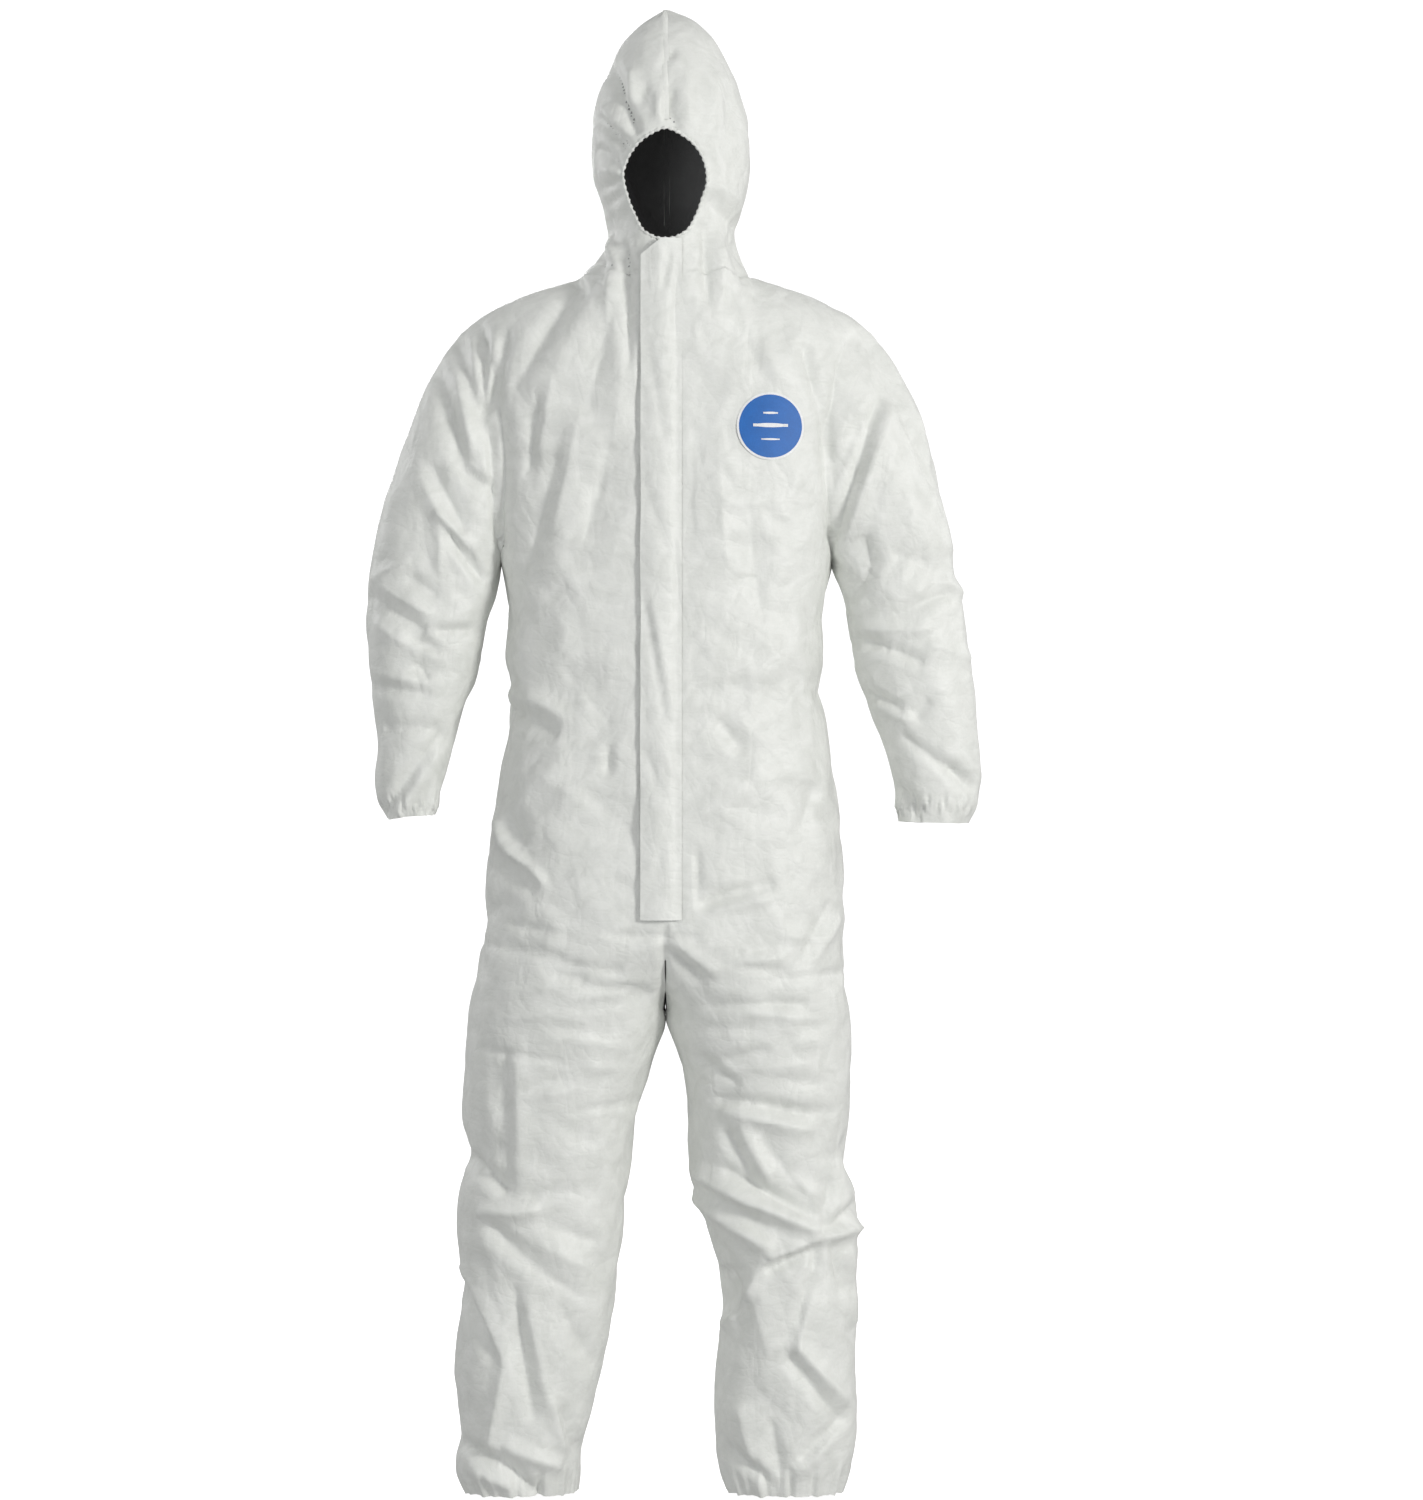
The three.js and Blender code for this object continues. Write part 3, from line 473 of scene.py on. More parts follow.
# x and height of a crease's two ends, its width, and how far it stands out (below 0: a valley)
frontCreases = [
    # from the neck down to the right armhole
    (-106, 1393, -175, 1277, 16, -5), (-145, 1267, -159, 1179, 13, -5), (-128, 1290, -146, 1200, 18, 3),
    (-123, 1200, -169, 1051, 30, -6), (-96, 1250, -128, 1110, 30, 4), (-63, 1209, -93, 1100, 30, -5),
    (-75, 1395, -125, 1300, 22, 3), (-60, 1370, -88, 1250, 20, -3), (-45, 1330, -60, 1210, 26, 3),
    # gathers of the right sleeve's head
    (-213, 1351, -207, 1245, 10, -5), (-222, 1340, -214, 1262, 9, 3), (-181, 1346, -202, 1251, 11, -5),
    (-194, 1338, -206, 1262, 9, 3), (-243, 1333, -202, 1215, 13, -5), (-262, 1299, -229, 1179, 15, -6),
    (-240, 1300, -222, 1200, 12, 4), (-229, 1182, -193, 1158, 11, -5), (-228, 1190, -196, 1172, 8, 2),
    (-257, 1122, -207, 1056, 10, -6), (-262, 1138, -226, 1094, 12, 4), (-270, 1190, -229, 1112, 17, -5),
    (-282, 1180, -247, 1110, 16, 3), (-201, 1229, -191, 1095, 8, -5),
    # right elbow and forearm
    (-345, 1042, -276, 998, 18, -5), (-330, 1052, -268, 1016, 14, 4), (-262, 1000, -214, 1000, 9, -4),
    (-294, 991, -258, 978, 9, -4), (-288, 964, -272, 946, 15, -5), (-337, 936, -270, 926, 10, -4),
    (-330, 950, -275, 942, 12, 3), (-326, 888, -259, 888, 12, -4), (-254, 885, -323, 792, 12, -5),
    (-262, 862, -318, 780, 14, 4), (-339, 1058, -292, 1079, 12, 4), (-296, 1062, -262, 1040, 12, -3),
    (-258, 1118, -259, 1062, 12, 3), (-334, 1010, -300, 985, 14, 3),
    # from the neck to the left armhole
    (123, 1393, 161, 1327, 10, 4), (130, 1385, 165, 1315, 9, -3), (159, 1322, 173, 1270, 11, -5),
    (172, 1277, 193, 1165, 13, -4), (251, 1280, 191, 1103, 12, -7), (262, 1262, 208, 1106, 16, 4),
    (199, 1182, 227, 1251, 12, -4), (236, 1335, 311, 1165, 18, -5), (248, 1330, 300, 1230, 14, 3),
    (110, 1330, 138, 1262, 18, 3), (88, 1345, 116, 1280, 18, -3), (178, 1368, 214, 1300, 14, 3),
    (60, 1200, 70, 1060, 34, 4), (96, 1140, 110, 1010, 34, -4),
    # left elbow and forearm
    (226, 1109, 234, 1069, 18, -5), (234, 1069, 215, 1040, 16, -4), (261, 1016, 330, 1046, 13, -4),
    (218, 1001, 306, 1002, 13, 4), (218, 992, 258, 978, 11, -6), (258, 979, 297, 962, 11, -5),
    (232, 928, 272, 908, 10, -6), (240, 918, 282, 896, 10, 4), (269, 880, 311, 851, 10, -4),
    (311, 851, 360, 820, 11, -4), (285, 900, 303, 921, 11, -4), (322, 848, 351, 812, 13, -4),
    (269, 821, 293, 784, 11, -5), (300, 985, 352, 968, 16, 3), (318, 1058, 346, 1042, 11, 4),
    (282, 1140, 330, 1090, 26, 3), (262, 1090, 318, 1066, 24, -3),
    # waist and hips
    (-182, 912, -122, 881, 18, -6), (-182, 928, -120, 906, 14, 4), (-64, 868, -66, 836, 9, -4),
    (-193, 784, -184, 751, 9, 6), (-184, 751, -156, 731, 8, 6), (-156, 732, -136, 709, 8, 4),
    (-180, 782, -160, 755, 12, -5), (-200, 742, -197, 690, 11, 4), (-188, 730, -150, 700, 14, -4),
    (32, 748, 36, 714, 10, -4), (36, 715, 10, 664, 12, -5), (41, 686, 72, 700, 9, -5),
    (72, 700, 125, 711, 9, -5), (52, 679, 118, 694, 9, 4), (156, 770, 173, 824, 18, -4),
    (168, 621, 200, 672, 10, 4), (158, 630, 190, 690, 11, -4), (60, 900, 90, 860, 18, -4),
    (-120, 960, -60, 890, 34, -4), (70, 940, 160, 905, 24, -3), (-150, 842, -90, 800, 34, 4),
    (-24, 760, -95, 820, 26, -3), (110, 850, 60, 790, 30, 3),
    # the seat's front, below the zip
    (-2, 668, 0, 560, 8, -3), (-178, 664, -107, 652, 9, -3), (-122, 624, -48, 612, 9, -3),
    (-69, 652, 36, 650, 8, -3), (75, 618, 144, 611, 9, -3), (47, 571, 162, 575, 9, -3),
    (2, 637, 41, 602, 11, -4), (8, 648, 60, 610, 12, 4), (-100, 595, -20, 588, 9, -3),
    # right thigh, knee and shin
    (-181, 359, -184, 522, 16, -4), (-168, 380, -170, 520, 16, 3), (-228, 396, -181, 359, 12, -8),
    (-214, 331, -147, 339, 13, 8), (-214, 330, -155, 278, 14, -5), (-180, 352, -100, 360, 14, -3),
    (-233, 271, -184, 160, 13, 7), (-232, 252, -190, 162, 14, -7), (-174, 250, -151, 97, 15, -6),
    (-184, 160, -203, 57, 13, 5), (-160, 235, -134, 110, 14, 3), (-155, 278, -95, 235, 14, -3),
    (-147, 300, -85, 268, 14, 3), (-140, 322, -80, 300, 12, -3), (-120, 230, -78, 150, 20, -4),
    (-236, 66, -192, 49, 12, -8), (-192, 49, -140, 6, 12, -6), (-185, 66, -120, 40, 13, 6),
    (-118, 110, -100, 50, 11, -5), (-130, 120, -116, 58, 10, 4), (-225, 40, -178, 18, 14, 5),
    # left thigh, knee and shin
    (34, 514, 84, 480, 10, -4), (59, 467, 170, 444, 11, -6), (64, 452, 168, 428, 13, 4),
    (67, 430, 104, 362, 12, -5), (84, 436, 120, 372, 12, 3), (110, 420, 176, 330, 16, -3),
    (34, 378, 178, 312, 14, 10), (66, 384, 176, 322, 11, -7), (30, 352, 120, 292, 15, 8),
    (182, 309, 232, 346, 10, -7), (182, 307, 230, 312, 10, 6), (182, 308, 190, 372, 12, -5),
    (180, 304, 118, 281, 10, 7), (172, 296, 112, 268, 11, -8), (178, 300, 152, 205, 10, -7),
    (170, 274, 150, 172, 11, 5), (192, 298, 206, 236, 12, -6), (68, 268, 84, 214, 24, -9),
    (67, 196, 116, 280, 12, 6), (96, 250, 120, 170, 24, 4), (212, 290, 216, 200, 14, 4),
    (140, 170, 200, 96, 12, -5), (150, 182, 208, 112, 12, 5), (207, 98, 155, 47, 11, -7),
    (198, 84, 150, 34, 11, 6), (120, 96, 132, 30, 13, -5), (84, 110, 100, 46, 14, 4),
    (70, 62, 118, 24, 11, -6), (100, 130, 150, 90, 24, -3),
    # hood
    (11, 1665, -17, 1633, 9, -5), (-17, 1633, -30, 1600, 9, -3), (2, 1660, -22, 1624, 9, 4),
    (-64, 1650, -48, 1606, 12, -6), (-48, 1606, -33, 1564, 9, -6), (-37, 1640, -42, 1600, 10, 5),
    (-79, 1592, -47, 1545, 11, -5), (-72, 1600, -50, 1562, 9, 4), (-66, 1578, -42, 1550, 8, -4),
    (-80, 1555, -50, 1530, 10, -4), (-76, 1530, -50, 1520, 8, 3), (-74, 1508, -50, 1512, 8, -4),
    (-70, 1488, -46, 1500, 8, -3), (7, 1616, 5, 1588, 9, -5), (5, 1588, 14, 1570, 8, -4),
    (-6, 1610, -8, 1582, 8, 4), (24, 1640, 26, 1580, 14, 3), (75, 1632, 72, 1530, 16, -3),
    (60, 1640, 58, 1560, 14, 2), (50, 1490, 82, 1464, 14, -4), (60, 1510, 84, 1492, 12, 3),
    # neck
    (-46, 1446, -42, 1300, 12, -6), (-62, 1456, -66, 1350, 14, 4), (-82, 1452, -70, 1400, 12, -5),
    (44, 1462, 50, 1372, 12, -5), (58, 1456, 66, 1380, 10, 4), (76, 1448, 92, 1398, 10, -4),
    (-75, 1438, -58, 1412, 9, -4), (-104, 1402, -92, 1382, 9, -4), (-66, 1440, -50, 1405, 8, 3),
    (40, 1448, 38, 1405, 8, 2), (-66, 1478, -58, 1440, 10, -3),
    (60, 1440, 72, 1408, 12, 3),
]
backCreases = [
    (-70, 1405, -150, 1300, 22, -4), (80, 1400, 160, 1290, 24, -4), (-20, 1390, -60, 1280, 26, 3),
    (40, 1385, 70, 1290, 26, 3), (-200, 1345, -196, 1230, 12, -5), (-214, 1340, -208, 1250, 10, 4),
    (205, 1340, 198, 1240, 12, -5), (222, 1330, 212, 1240, 10, 4), (-185, 1200, -120, 1060, 26, -5),
    (190, 1190, 130, 1050, 26, -5), (-250, 1260, -200, 1120, 16, -5), (256, 1250, 204, 1110, 16, -5),
    (-160, 1020, -60, 960, 30, 4), (150, 1000, 70, 950, 30, 4), (-170, 925, -90, 935, 12, -5),
    (60, 930, 170, 922, 12, -5), (-60, 905, 40, 902, 12, -4), (-120, 890, -60, 800, 22, -4),
    (70, 880, 120, 790, 22, -4), (-150, 760, -40, 700, 26, 4), (40, 740, 150, 690, 26, -4),
    (0, 1380, 0, 560, 7, -2), (-120, 640, -30, 610, 12, -4), (30, 620, 140, 600, 12, -4),
    (-190, 560, -70, 540, 12, -4), (50, 540, 180, 520, 12, -4), (-200, 420, -90, 360, 14, -7),
    (-210, 380, -100, 330, 14, 7), (-180, 330, -80, 340, 12, -6), (60, 400, 190, 370, 14, -7),
    (50, 370, 180, 330, 14, 7), (90, 330, 200, 320, 12, -6), (-190, 280, -170, 120, 16, -5),
    (-140, 260, -110, 110, 18, 5), (120, 280, 150, 120, 18, -5), (180, 260, 170, 110, 16, 5),
    (-210, 90, -120, 40, 13, -6), (90, 90, 190, 50, 13, -6), (-320, 1060, -240, 1000, 16, -5),
    (-330, 1000, -250, 960, 14, 5), (-300, 920, -260, 880, 12, -4), (330, 1050, 240, 1010, 16, -5),
    (340, 990, 250, 950, 14, 5), (300, 900, 340, 850, 12, -4), (-40, 1660, 30, 1640, 14, -4),
    (-60, 1560, -30, 1480, 14, -4), (60, 1560, 35, 1480, 14, -4), (-20, 1500, 20, 1440, 14, 3),
]
thighLines = {"top": 650, "bottom": 430, "step": 15, "inner": 24, "outer": 205, "width": 7, "depth": 2.2}


def thighCreases():
    # short level creases one above the other, where the legs' cloth sags in waves
    creases = []
    count = int((thighLines["top"] - thighLines["bottom"]) / thighLines["step"])
    for k in range(count):
        height = thighLines["top"] - k * thighLines["step"]
        for side in (-1, 1):
            sway = math.sin(k * 2.4 + side)
            middle = mix(thighLines["inner"], thighLines["outer"], 0.5 + 0.28 * sway)
            half = 34 + 16 * math.cos(k * 1.7 + 2 * side)
            slope = 7 * math.sin(k * 0.9 + 3 * side)
            rise = thighLines["depth"] * (-1 if k % 2 else 0.8)
            ends = (side * (middle - half), height + slope, side * (middle + half), height - slope)
            creases.append((*ends, thighLines["width"] + 2 * (k % 3), rise))
    return creases


press = {"reach": 1.35, "rise": 1.7}


def pressCreases(points, creases, facing):
    # how far each point is pushed out along its normal, in metres
    x, height = points[:, 0] * 1000, heightOf(points)
    lift = np.zeros(len(points))
    for x1, h1, x2, h2, width, rise in creases:
        reach = press["reach"] * width
        near = (x > min(x1, x2) - reach) & (x < max(x1, x2) + reach)
        near &= (height > min(h1, h2) - reach) & (height < max(h1, h2) + reach)
        dx, dh = x2 - x1, h2 - h1
        t = np.clip(((x[near] - x1) * dx + (height[near] - h1) * dh) / (dx * dx + dh * dh), 0, 1)
        away = np.hypot(x[near] - x1 - t * dx, height[near] - h1 - t * dh) / reach
        fade = (4 * t * (1 - t)) ** 0.4
        lift[near] += press["rise"] * rise / 1000 * np.maximum(0, 1 - away) ** 1.6 * (0.25 + 0.75 * fade)
    return lift * smooth(-0.012, 0.014, points[:, 1] * facing)


crinkle = {"size": 0.046, "deep": 0.0016, "stretch": (1.0, 1.0, 0.8), "bend": 0.016}


def crinkleLift(points, share):
    # flat facets that meet in fine creases, as crumpled paper has
    lift = np.zeros(len(points))
    stretch = Vector(crinkle["stretch"])
    for k, point in enumerate(points):
        place = Vector(point)
        place += noise.noise_vector(place * 14) * crinkle["bend"]
        near, far = noise.voronoi(place * stretch / crinkle["size"])[0][:2]
        lift[k] = min(far - near, 0.5) - 0.3
    return lift * crinkle["deep"] * share


cut = {"knee": 437, "elbow": 1020, "thickness": 0.0008, "groove": 0.0012, "gather": 0.0017}


def gathers(points):
    # small pleats where the elastic draws the wrists and ankles in
    height = heightOf(points)
    arm = sleeveShare(points)
    side = np.where(points[:, 0] > 0, 1, -1)
    middle = side * mix(0.148, 0.305, arm)
    turn = np.arctan2(points[:, 1], points[:, 0] - middle)
    share = mix(smooth(46, 20, height), smooth(816, 796, height), arm)
    pleats = np.sin(17 * turn + side) + 0.7 * np.sin(29 * turn + 2 * side) + 0.5 * np.sin(43 * turn)
    return pleats * share * cut["gather"]


def refine(cloth):
    modifier = cloth.modifiers.new("smooth", "SUBSURF")
    modifier.levels = modifier.render_levels = 1
    bpy.ops.object.select_all(action="DESELECT")
    bpy.context.view_layer.objects.active = cloth
    bpy.ops.object.modifier_apply(modifier=modifier.name)
    mesh = cloth.data
    points, normals = pointArray(mesh), normalArray(mesh)
    place = mesh.attributes.new("restPlace", "FLOAT_VECTOR", "POINT")
    place.data.foreach_set("vector", points.ravel())
    flat = (np.abs(points[:, 0]) < 0.033) & (points[:, 1] < -0.05)
    flat &= (heightOf(points) > 664) & (heightOf(points) < 1440)
    lift = pressCreases(points, frontCreases + thighCreases(), -1)
    lift += pressCreases(points, backCreases, 1)
    lift += crinkleLift(points, 0.5 + 0.5 * fullness(points))
    lift += gathers(points)
    lift -= cut["groove"] * smooth(0.3, 1, floatArray(mesh, "seam"))
    lift *= np.where(flat, 0.1, 1) * (1 - 0.85 * badgeShare(points))
    mesh.vertices.foreach_set("co", (points + normals * lift[:, None]).ravel())
    mesh.update()


def cutCloth(cloth):
    # level cuts at the knees and elbows, then each piece's faces by panel and height
    mesh = bmesh.new()
    mesh.from_mesh(cloth.data)
    part = mesh.faces.layers.int["part"]
    for height, numbers in ((cut["knee"], (0, 1, 2, 3)), (cut["elbow"], (4, 5))):
        faces = [face for face in mesh.faces if face[part] in numbers]
        level = (height - neckHeight) / 1000
        near = [f for f in faces if abs(f.calc_center_median().z - level) < 0.03]
        geometry = set(near)
        for face in near:
            geometry.update(face.edges)
            geometry.update(face.verts)
        bmesh.ops.bisect_plane(
            mesh, geom=list(geometry), plane_co=(0, 0, level), plane_no=(0, 0, 1), dist=0.00001
        )
    mesh.verts.index_update()
    mesh.normal_update()
    groups = {}
    for face in mesh.faces:
        height = face.calc_center_median().z * 1000 + neckHeight
        number, side = divmod(face[part], 2)
        sideName = "_left" if side else "_right"
        name = ("front_cloth", "back_cloth", "upper_sleeve_cloth", "hood_cloth")[number]
        if number < 2 and height < cut["knee"]:
            name = "lower_leg_cloth"
        if number == 2 and height < cut["elbow"]:
            name = "lower_sleeve_cloth"
        if number != 3:
            name += sideName
        groups.setdefault(name, []).append([v.index for v in face.verts])
    points = np.array([v.co for v in mesh.verts])
    normals = np.array([v.normal for v in mesh.verts])
    placeLayer = mesh.verts.layers.float_vector["restPlace"]
    places = np.array([v[placeLayer] for v in mesh.verts])
    seamLayer = mesh.verts.layers.float["seam"]
    seams = np.array([v[seamLayer] for v in mesh.verts])
    mesh.free()
    return groups, points, normals, places, seams


def rimFaces(faces, count):
    # a narrow face beside each open edge, which joins the outer side to the inner side
    edges = {}
    for face in faces:
        for a, b in zip(face, face[1:] + face[:1]):
            edges[(a, b)] = edges.get((a, b), 0) + 1
    return [(b, a, a + count, b + count) for a, b in edges if (b, a) not in edges]


def makeShell(name, faces, points, normals, places, thickness, inset=0.0):
    # a closed sheet with an outer side, an inner side and a rim, shaded by the whole suit's normals
    used = sorted({index for face in faces for index in face})
    number = {index: k for k, index in enumerate(used)}
    outer = [[number[index] for index in face] for face in faces]
    count = len(used)
    inner = [[index + count for index in face[::-1]] for face in outer]
    rim = rimFaces(outer, count)
    outside = points[used] - normals[used] * inset
    inside = outside - normals[used] * thickness
    data = bpy.data.meshes.new(name)
    data.from_pydata(np.concatenate([outside, inside]).tolist(), [], outer + inner + rim)
    place = data.attributes.new("restPlace", "FLOAT_VECTOR", "POINT")
    place.data.foreach_set("vector", np.concatenate([places[used]] * 2).ravel())
    data.polygons.foreach_set("use_smooth", [True] * len(data.polygons))
    data.update()
    data.normals_split_custom_set_from_vertices(np.concatenate([normals[used], -normals[used]]).tolist())
    piece = bpy.data.objects.new(name, data)
    bpy.context.scene.collection.objects.link(piece)
    return piece


refine(cloth)
groups, points, normals, places, seams = cutCloth(cloth)
pieces = {}
for name, faces in sorted(groups.items()):
    pieces[name] = makeShell(name, faces, points, normals, places, cut["thickness"])
bpy.data.objects.remove(cloth)
print("cloth cut into", len(pieces), "pieces")


# for each band: the pieces of cloth it lies in, its lowest and its highest height
bands = {
    "waist_band": (("front", "back"), 908, 930),
    "wrist_band_left": (("lower_sleeve_cloth_left",), 787, 797),
    "wrist_band_right": (("lower_sleeve_cloth_right",), 793, 803),
    "ankle_band_left": (("lower_leg_cloth_left",), 14, 24),
    "ankle_band_right": (("lower_leg_cloth_right",), 14, 24),
}
bandInset = {"depth": 0.0014, "thickness": 0.0007, "gapInFront": 0.09}


def makeBands():
    for name, (owners, low, high) in bands.items():
        faces = []
        for owner, group in groups.items():
            if not owner.startswith(owners):
                continue
            for face in group:
                height = points[face, 2].mean() * 1000 + neckHeight
                inFront = points[face[0], 1] < 0 and abs(points[face[0], 0]) < bandInset["gapInFront"]
                if low < height < high and not (name == "waist_band" and inFront):
                    faces.append(face)
        pieces[name] = makeShell(
            name, faces, points, normals, places, bandInset["thickness"], inset=bandInset["depth"]
        )


makeBands()


flap = {
    "stitched": 19, "free": -28, "bottom": 670, "top": 1446, "columns": 16, "rows": 130,
    "bulge": 8.6, "freeGap": 5.5, "stitchedGap": 1.7, "thickness": 0.0012, "wave": 0.9,
    "topSlope": 19, "fullness": 1.25, "edgeSway": 1.1,
}
# x and height of both ends, width and lift of the creases in the flap
flapCreases = [
    (7, 1437, -4, 1386, 6, -2.2), (14, 1400, 10, 1330, 7, -1.2), (-20, 1330, 0, 1210, 9, -1.4),
    (-24, 1036, 1, 890, 8, -1.8), (-16, 1040, 10, 900, 8, 1.2), (-24, 866, -2, 812, 9, -1.8),
    (-10, 880, 14, 830, 9, 1.2), (-20, 1160, 4, 1080, 9, -1.3), (2, 780, -14, 700, 9, -1.3),
    (13, 1440, 12, 680, 4, -1.0),
]


def flapPoint(across, height):
    # the flap rises from its stitched edge over the zip and comes down to its free edge
    x = mix(flap["stitched"], flap["free"], across)
    gap = mix(flap["stitchedGap"], flap["freeGap"], across)
    bulge = flap["bulge"] - (flap["stitchedGap"] + flap["freeGap"]) / 2
    gap += bulge * math.sin(math.pi * across) ** flap["fullness"]
    lump = noise.noise(Vector((x / 60, height / 45, 0))) + noise.noise(Vector((x / 25, height / 21, 5)))
    gap += flap["wave"] * lump * across
    edge = flap["edgeSway"] * noise.noise(Vector((0, height / 70, 9))) * across
    return x + edge, -(frontDepth(height) + gap), height


def makeFlap():
    rows = []
    for k in range(flap["rows"] + 1):
        row = []
        for j in range(flap["columns"] + 1):
            across = j / flap["columns"]
            slope = flap["topSlope"] * max(0, across - 0.5) / 0.5
            height = mix(flap["bottom"], flap["top"] - slope, k / flap["rows"])
            row.append(flapPoint(across, height))
        rows.append(row)
    grid = metres(rows)
    width = flap["columns"] + 1
    flat = grid.reshape(-1, 3)
    faces = []
    for k in range(flap["rows"]):
        for j in range(flap["columns"]):
            a = k * width + j
            faces.append([a, a + width, a + width + 1, a + 1])
    outward = np.tile([0.0, -1.0, 0.0], (len(flat), 1))
    flat = flat + outward * pressCreases(flat, flapCreases, -1)[:, None]
    data = bpy.data.meshes.new("flap_guide")
    data.from_pydata(flat.tolist(), [], faces)
    flapNormals = normalArray(data)
    bpy.data.meshes.remove(data)
    if flapNormals[:, 1].mean() > 0:
        faces = [face[::-1] for face in faces]
        flapNormals = -flapNormals
    return makeShell("storm_flap_cloth", faces, flat, flapNormals, flat, flap["thickness"])


pieces["storm_flap_cloth"] = makeFlap()
print("flap made")


faceHem = {"thick": 0.0032, "proud": 0.0006, "pleats": 46, "pleatDepth": 0.0007, "sides": 10}
binding = {"halfWidth": 0.0036, "proud": 0.0011, "thickness": 0.0007, "columns": 6}


def ordered(indices, angles):
    return [index for _, index in sorted(zip(angles, indices))]


def hoodIndices():
    return np.array(sorted({index for face in groups["hood_cloth"] for index in face}))


def openEdge(faces):
    # the points on a piece's open edges
    ends = [face[0:2] for face in rimFaces(faces, 0)]
    return np.array(sorted({index for pair in ends for index in pair}))


def makeTube(name, path, outward, radius):
    # a soft rolled hem whose thickness pulses with its pleats
    count, sides = len(path), faceHem["sides"]
    path, outward = np.array(path), np.array(outward)
    tangent = np.roll(path, -1, 0) - np.roll(path, 1, 0)
    tangent /= np.linalg.norm(tangent, axis=1)[:, None]
    across = np.cross(tangent, outward)
    across /= np.linalg.norm(across, axis=1)[:, None]
    outward = np.cross(across, tangent)
    ring = []
    for k in range(count):
        pulse = faceHem["pleatDepth"] * math.sin(2 * math.pi * k * faceHem["pleats"] / count)
        pulse += 0.5 * faceHem["pleatDepth"] * math.sin(9.7 * k)
        for j in range(sides):
            turn = 2 * math.pi * j / sides
            size = radius + pulse
            ring.append(path[k] + size * (across[k] * math.cos(turn) + 0.8 * outward[k] * math.sin(turn)))
    faces = []
    for k in range(count):
        for j in range(sides):
            a, b = k * sides + j, k * sides + (j + 1) % sides
            c, d = (k + 1) % count * sides + j, (k + 1) % count * sides + (j + 1) % sides
            faces.append([a, c, d, b])
    data = bpy.data.meshes.new(name)
    data.from_pydata([tuple(p) for p in ring], [], faces)
    place = data.attributes.new("restPlace", "FLOAT_VECTOR", "POINT")
    place.data.foreach_set("vector", np.array(ring).ravel())
    data.polygons.foreach_set("use_smooth", [True] * len(data.polygons))
    mesh = bmesh.new()
    mesh.from_mesh(data)
    bmesh.ops.recalc_face_normals(mesh, faces=mesh.faces)
    mesh.to_mesh(data)
    mesh.free()
    piece = bpy.data.objects.new(name, data)
    bpy.context.scene.collection.objects.link(piece)
    return piece


def makeFaceHem():
    edge = openEdge(groups["hood_cloth"])
    height = heightOf(points[edge])
    edge = edge[(points[edge, 1] < -0.05) & (height > 1443)]
    middle = np.array([0, 0, (1512 - neckHeight) / 1000])
    turn = np.arctan2(points[edge, 0] - middle[0], points[edge, 2] - middle[2])
    edge = ordered(edge, turn)
    path = points[edge] + normals[edge] * faceHem["proud"]
    smoothPath = (np.roll(path, 1, 0) + 2 * path + np.roll(path, -1, 0)) / 4
    fine = evenly(np.concatenate([smoothPath, smoothPath[:1]]), 241)[:-1]
    outward = np.tile([0.0, -1.0, 0.0], (len(fine), 1))
    return makeTube("face_hem_roll", fine, outward, faceHem["thick"] / 2)


def makeBinding():
    hood = hoodIndices()
    line = hood[(seams[hood] > 0.9) & (np.abs(places[hood, 0]) < 0.004)]
    line = line[(heightOf(places[line]) > 1577) | (places[line, 1] > 0)]
    line = line[heightOf(places[line]) > 1478]
    turn = np.arctan2(places[line, 1], places[line, 2] - (1560 - neckHeight) / 1000)
    line = ordered(line, turn)
    path = evenly(points[line] + normals[line] * binding["proud"], 150)
    lean = evenly(normals[line], 150)
    lean[:, 0] *= 0.3
    lean /= np.linalg.norm(lean, axis=1)[:, None]
    width = binding["columns"] + 1
    rows, rowNormals = [], []
    for point, normal in zip(path, lean):
        for j in range(width):
            offset = mix(-1, 1, j / binding["columns"])
            sink = 0.5 * binding["proud"] * offset**4
            rows.append(point + np.array([offset * binding["halfWidth"], 0, 0]) - normal * sink)
            rowNormals.append(normal + np.array([0.25 * offset, 0, 0]))
    faces = []
    for k in range(len(path) - 1):
        for j in range(width - 1):
            a = k * width + j
            faces.append([a, a + 1, a + width + 1, a + width])
    rows, rowNormals = np.array(rows), np.array(rowNormals)
    rowNormals /= np.linalg.norm(rowNormals, axis=1)[:, None]
    first = faces[0]
    facing = np.cross(rows[first[1]] - rows[first[0]], rows[first[3]] - rows[first[0]])
    if facing @ rowNormals[0] < 0:
        faces = [face[::-1] for face in faces]
    return makeShell("crown_binding", faces, rows, rowNormals, rows, binding["thickness"])


pieces["face_hem_roll"] = makeFaceHem()
pieces["crown_binding"] = makeBinding()


# plain printed bars: distance above the badge's middle, half-length, half-height
badgeBars = [(15, 8, 1.3), (1, 19, 2.4), (-15, 10, 1.1)]


def badgeSurface():
    # the smooth surface just outside the cloth under the badge
    chest = np.array(sorted({i for face in groups["front_cloth_left"] for i in face}))
    x = points[chest, 0] - badge["across"] / 1000
    z = points[chest, 2] - (badge["height"] - neckHeight) / 1000
    near = np.hypot(x, z) < (badge["radius"] + badge["border"] + 4) / 1000
    x, z, y = x[near], z[near], points[chest, 1][near]
    terms = np.stack([np.ones(len(x)), x, z, x * x, x * z, z * z], 1)
    weights = np.linalg.lstsq(terms, y, rcond=None)[0]
    weights[0] += np.min(y - terms @ weights)
    return weights


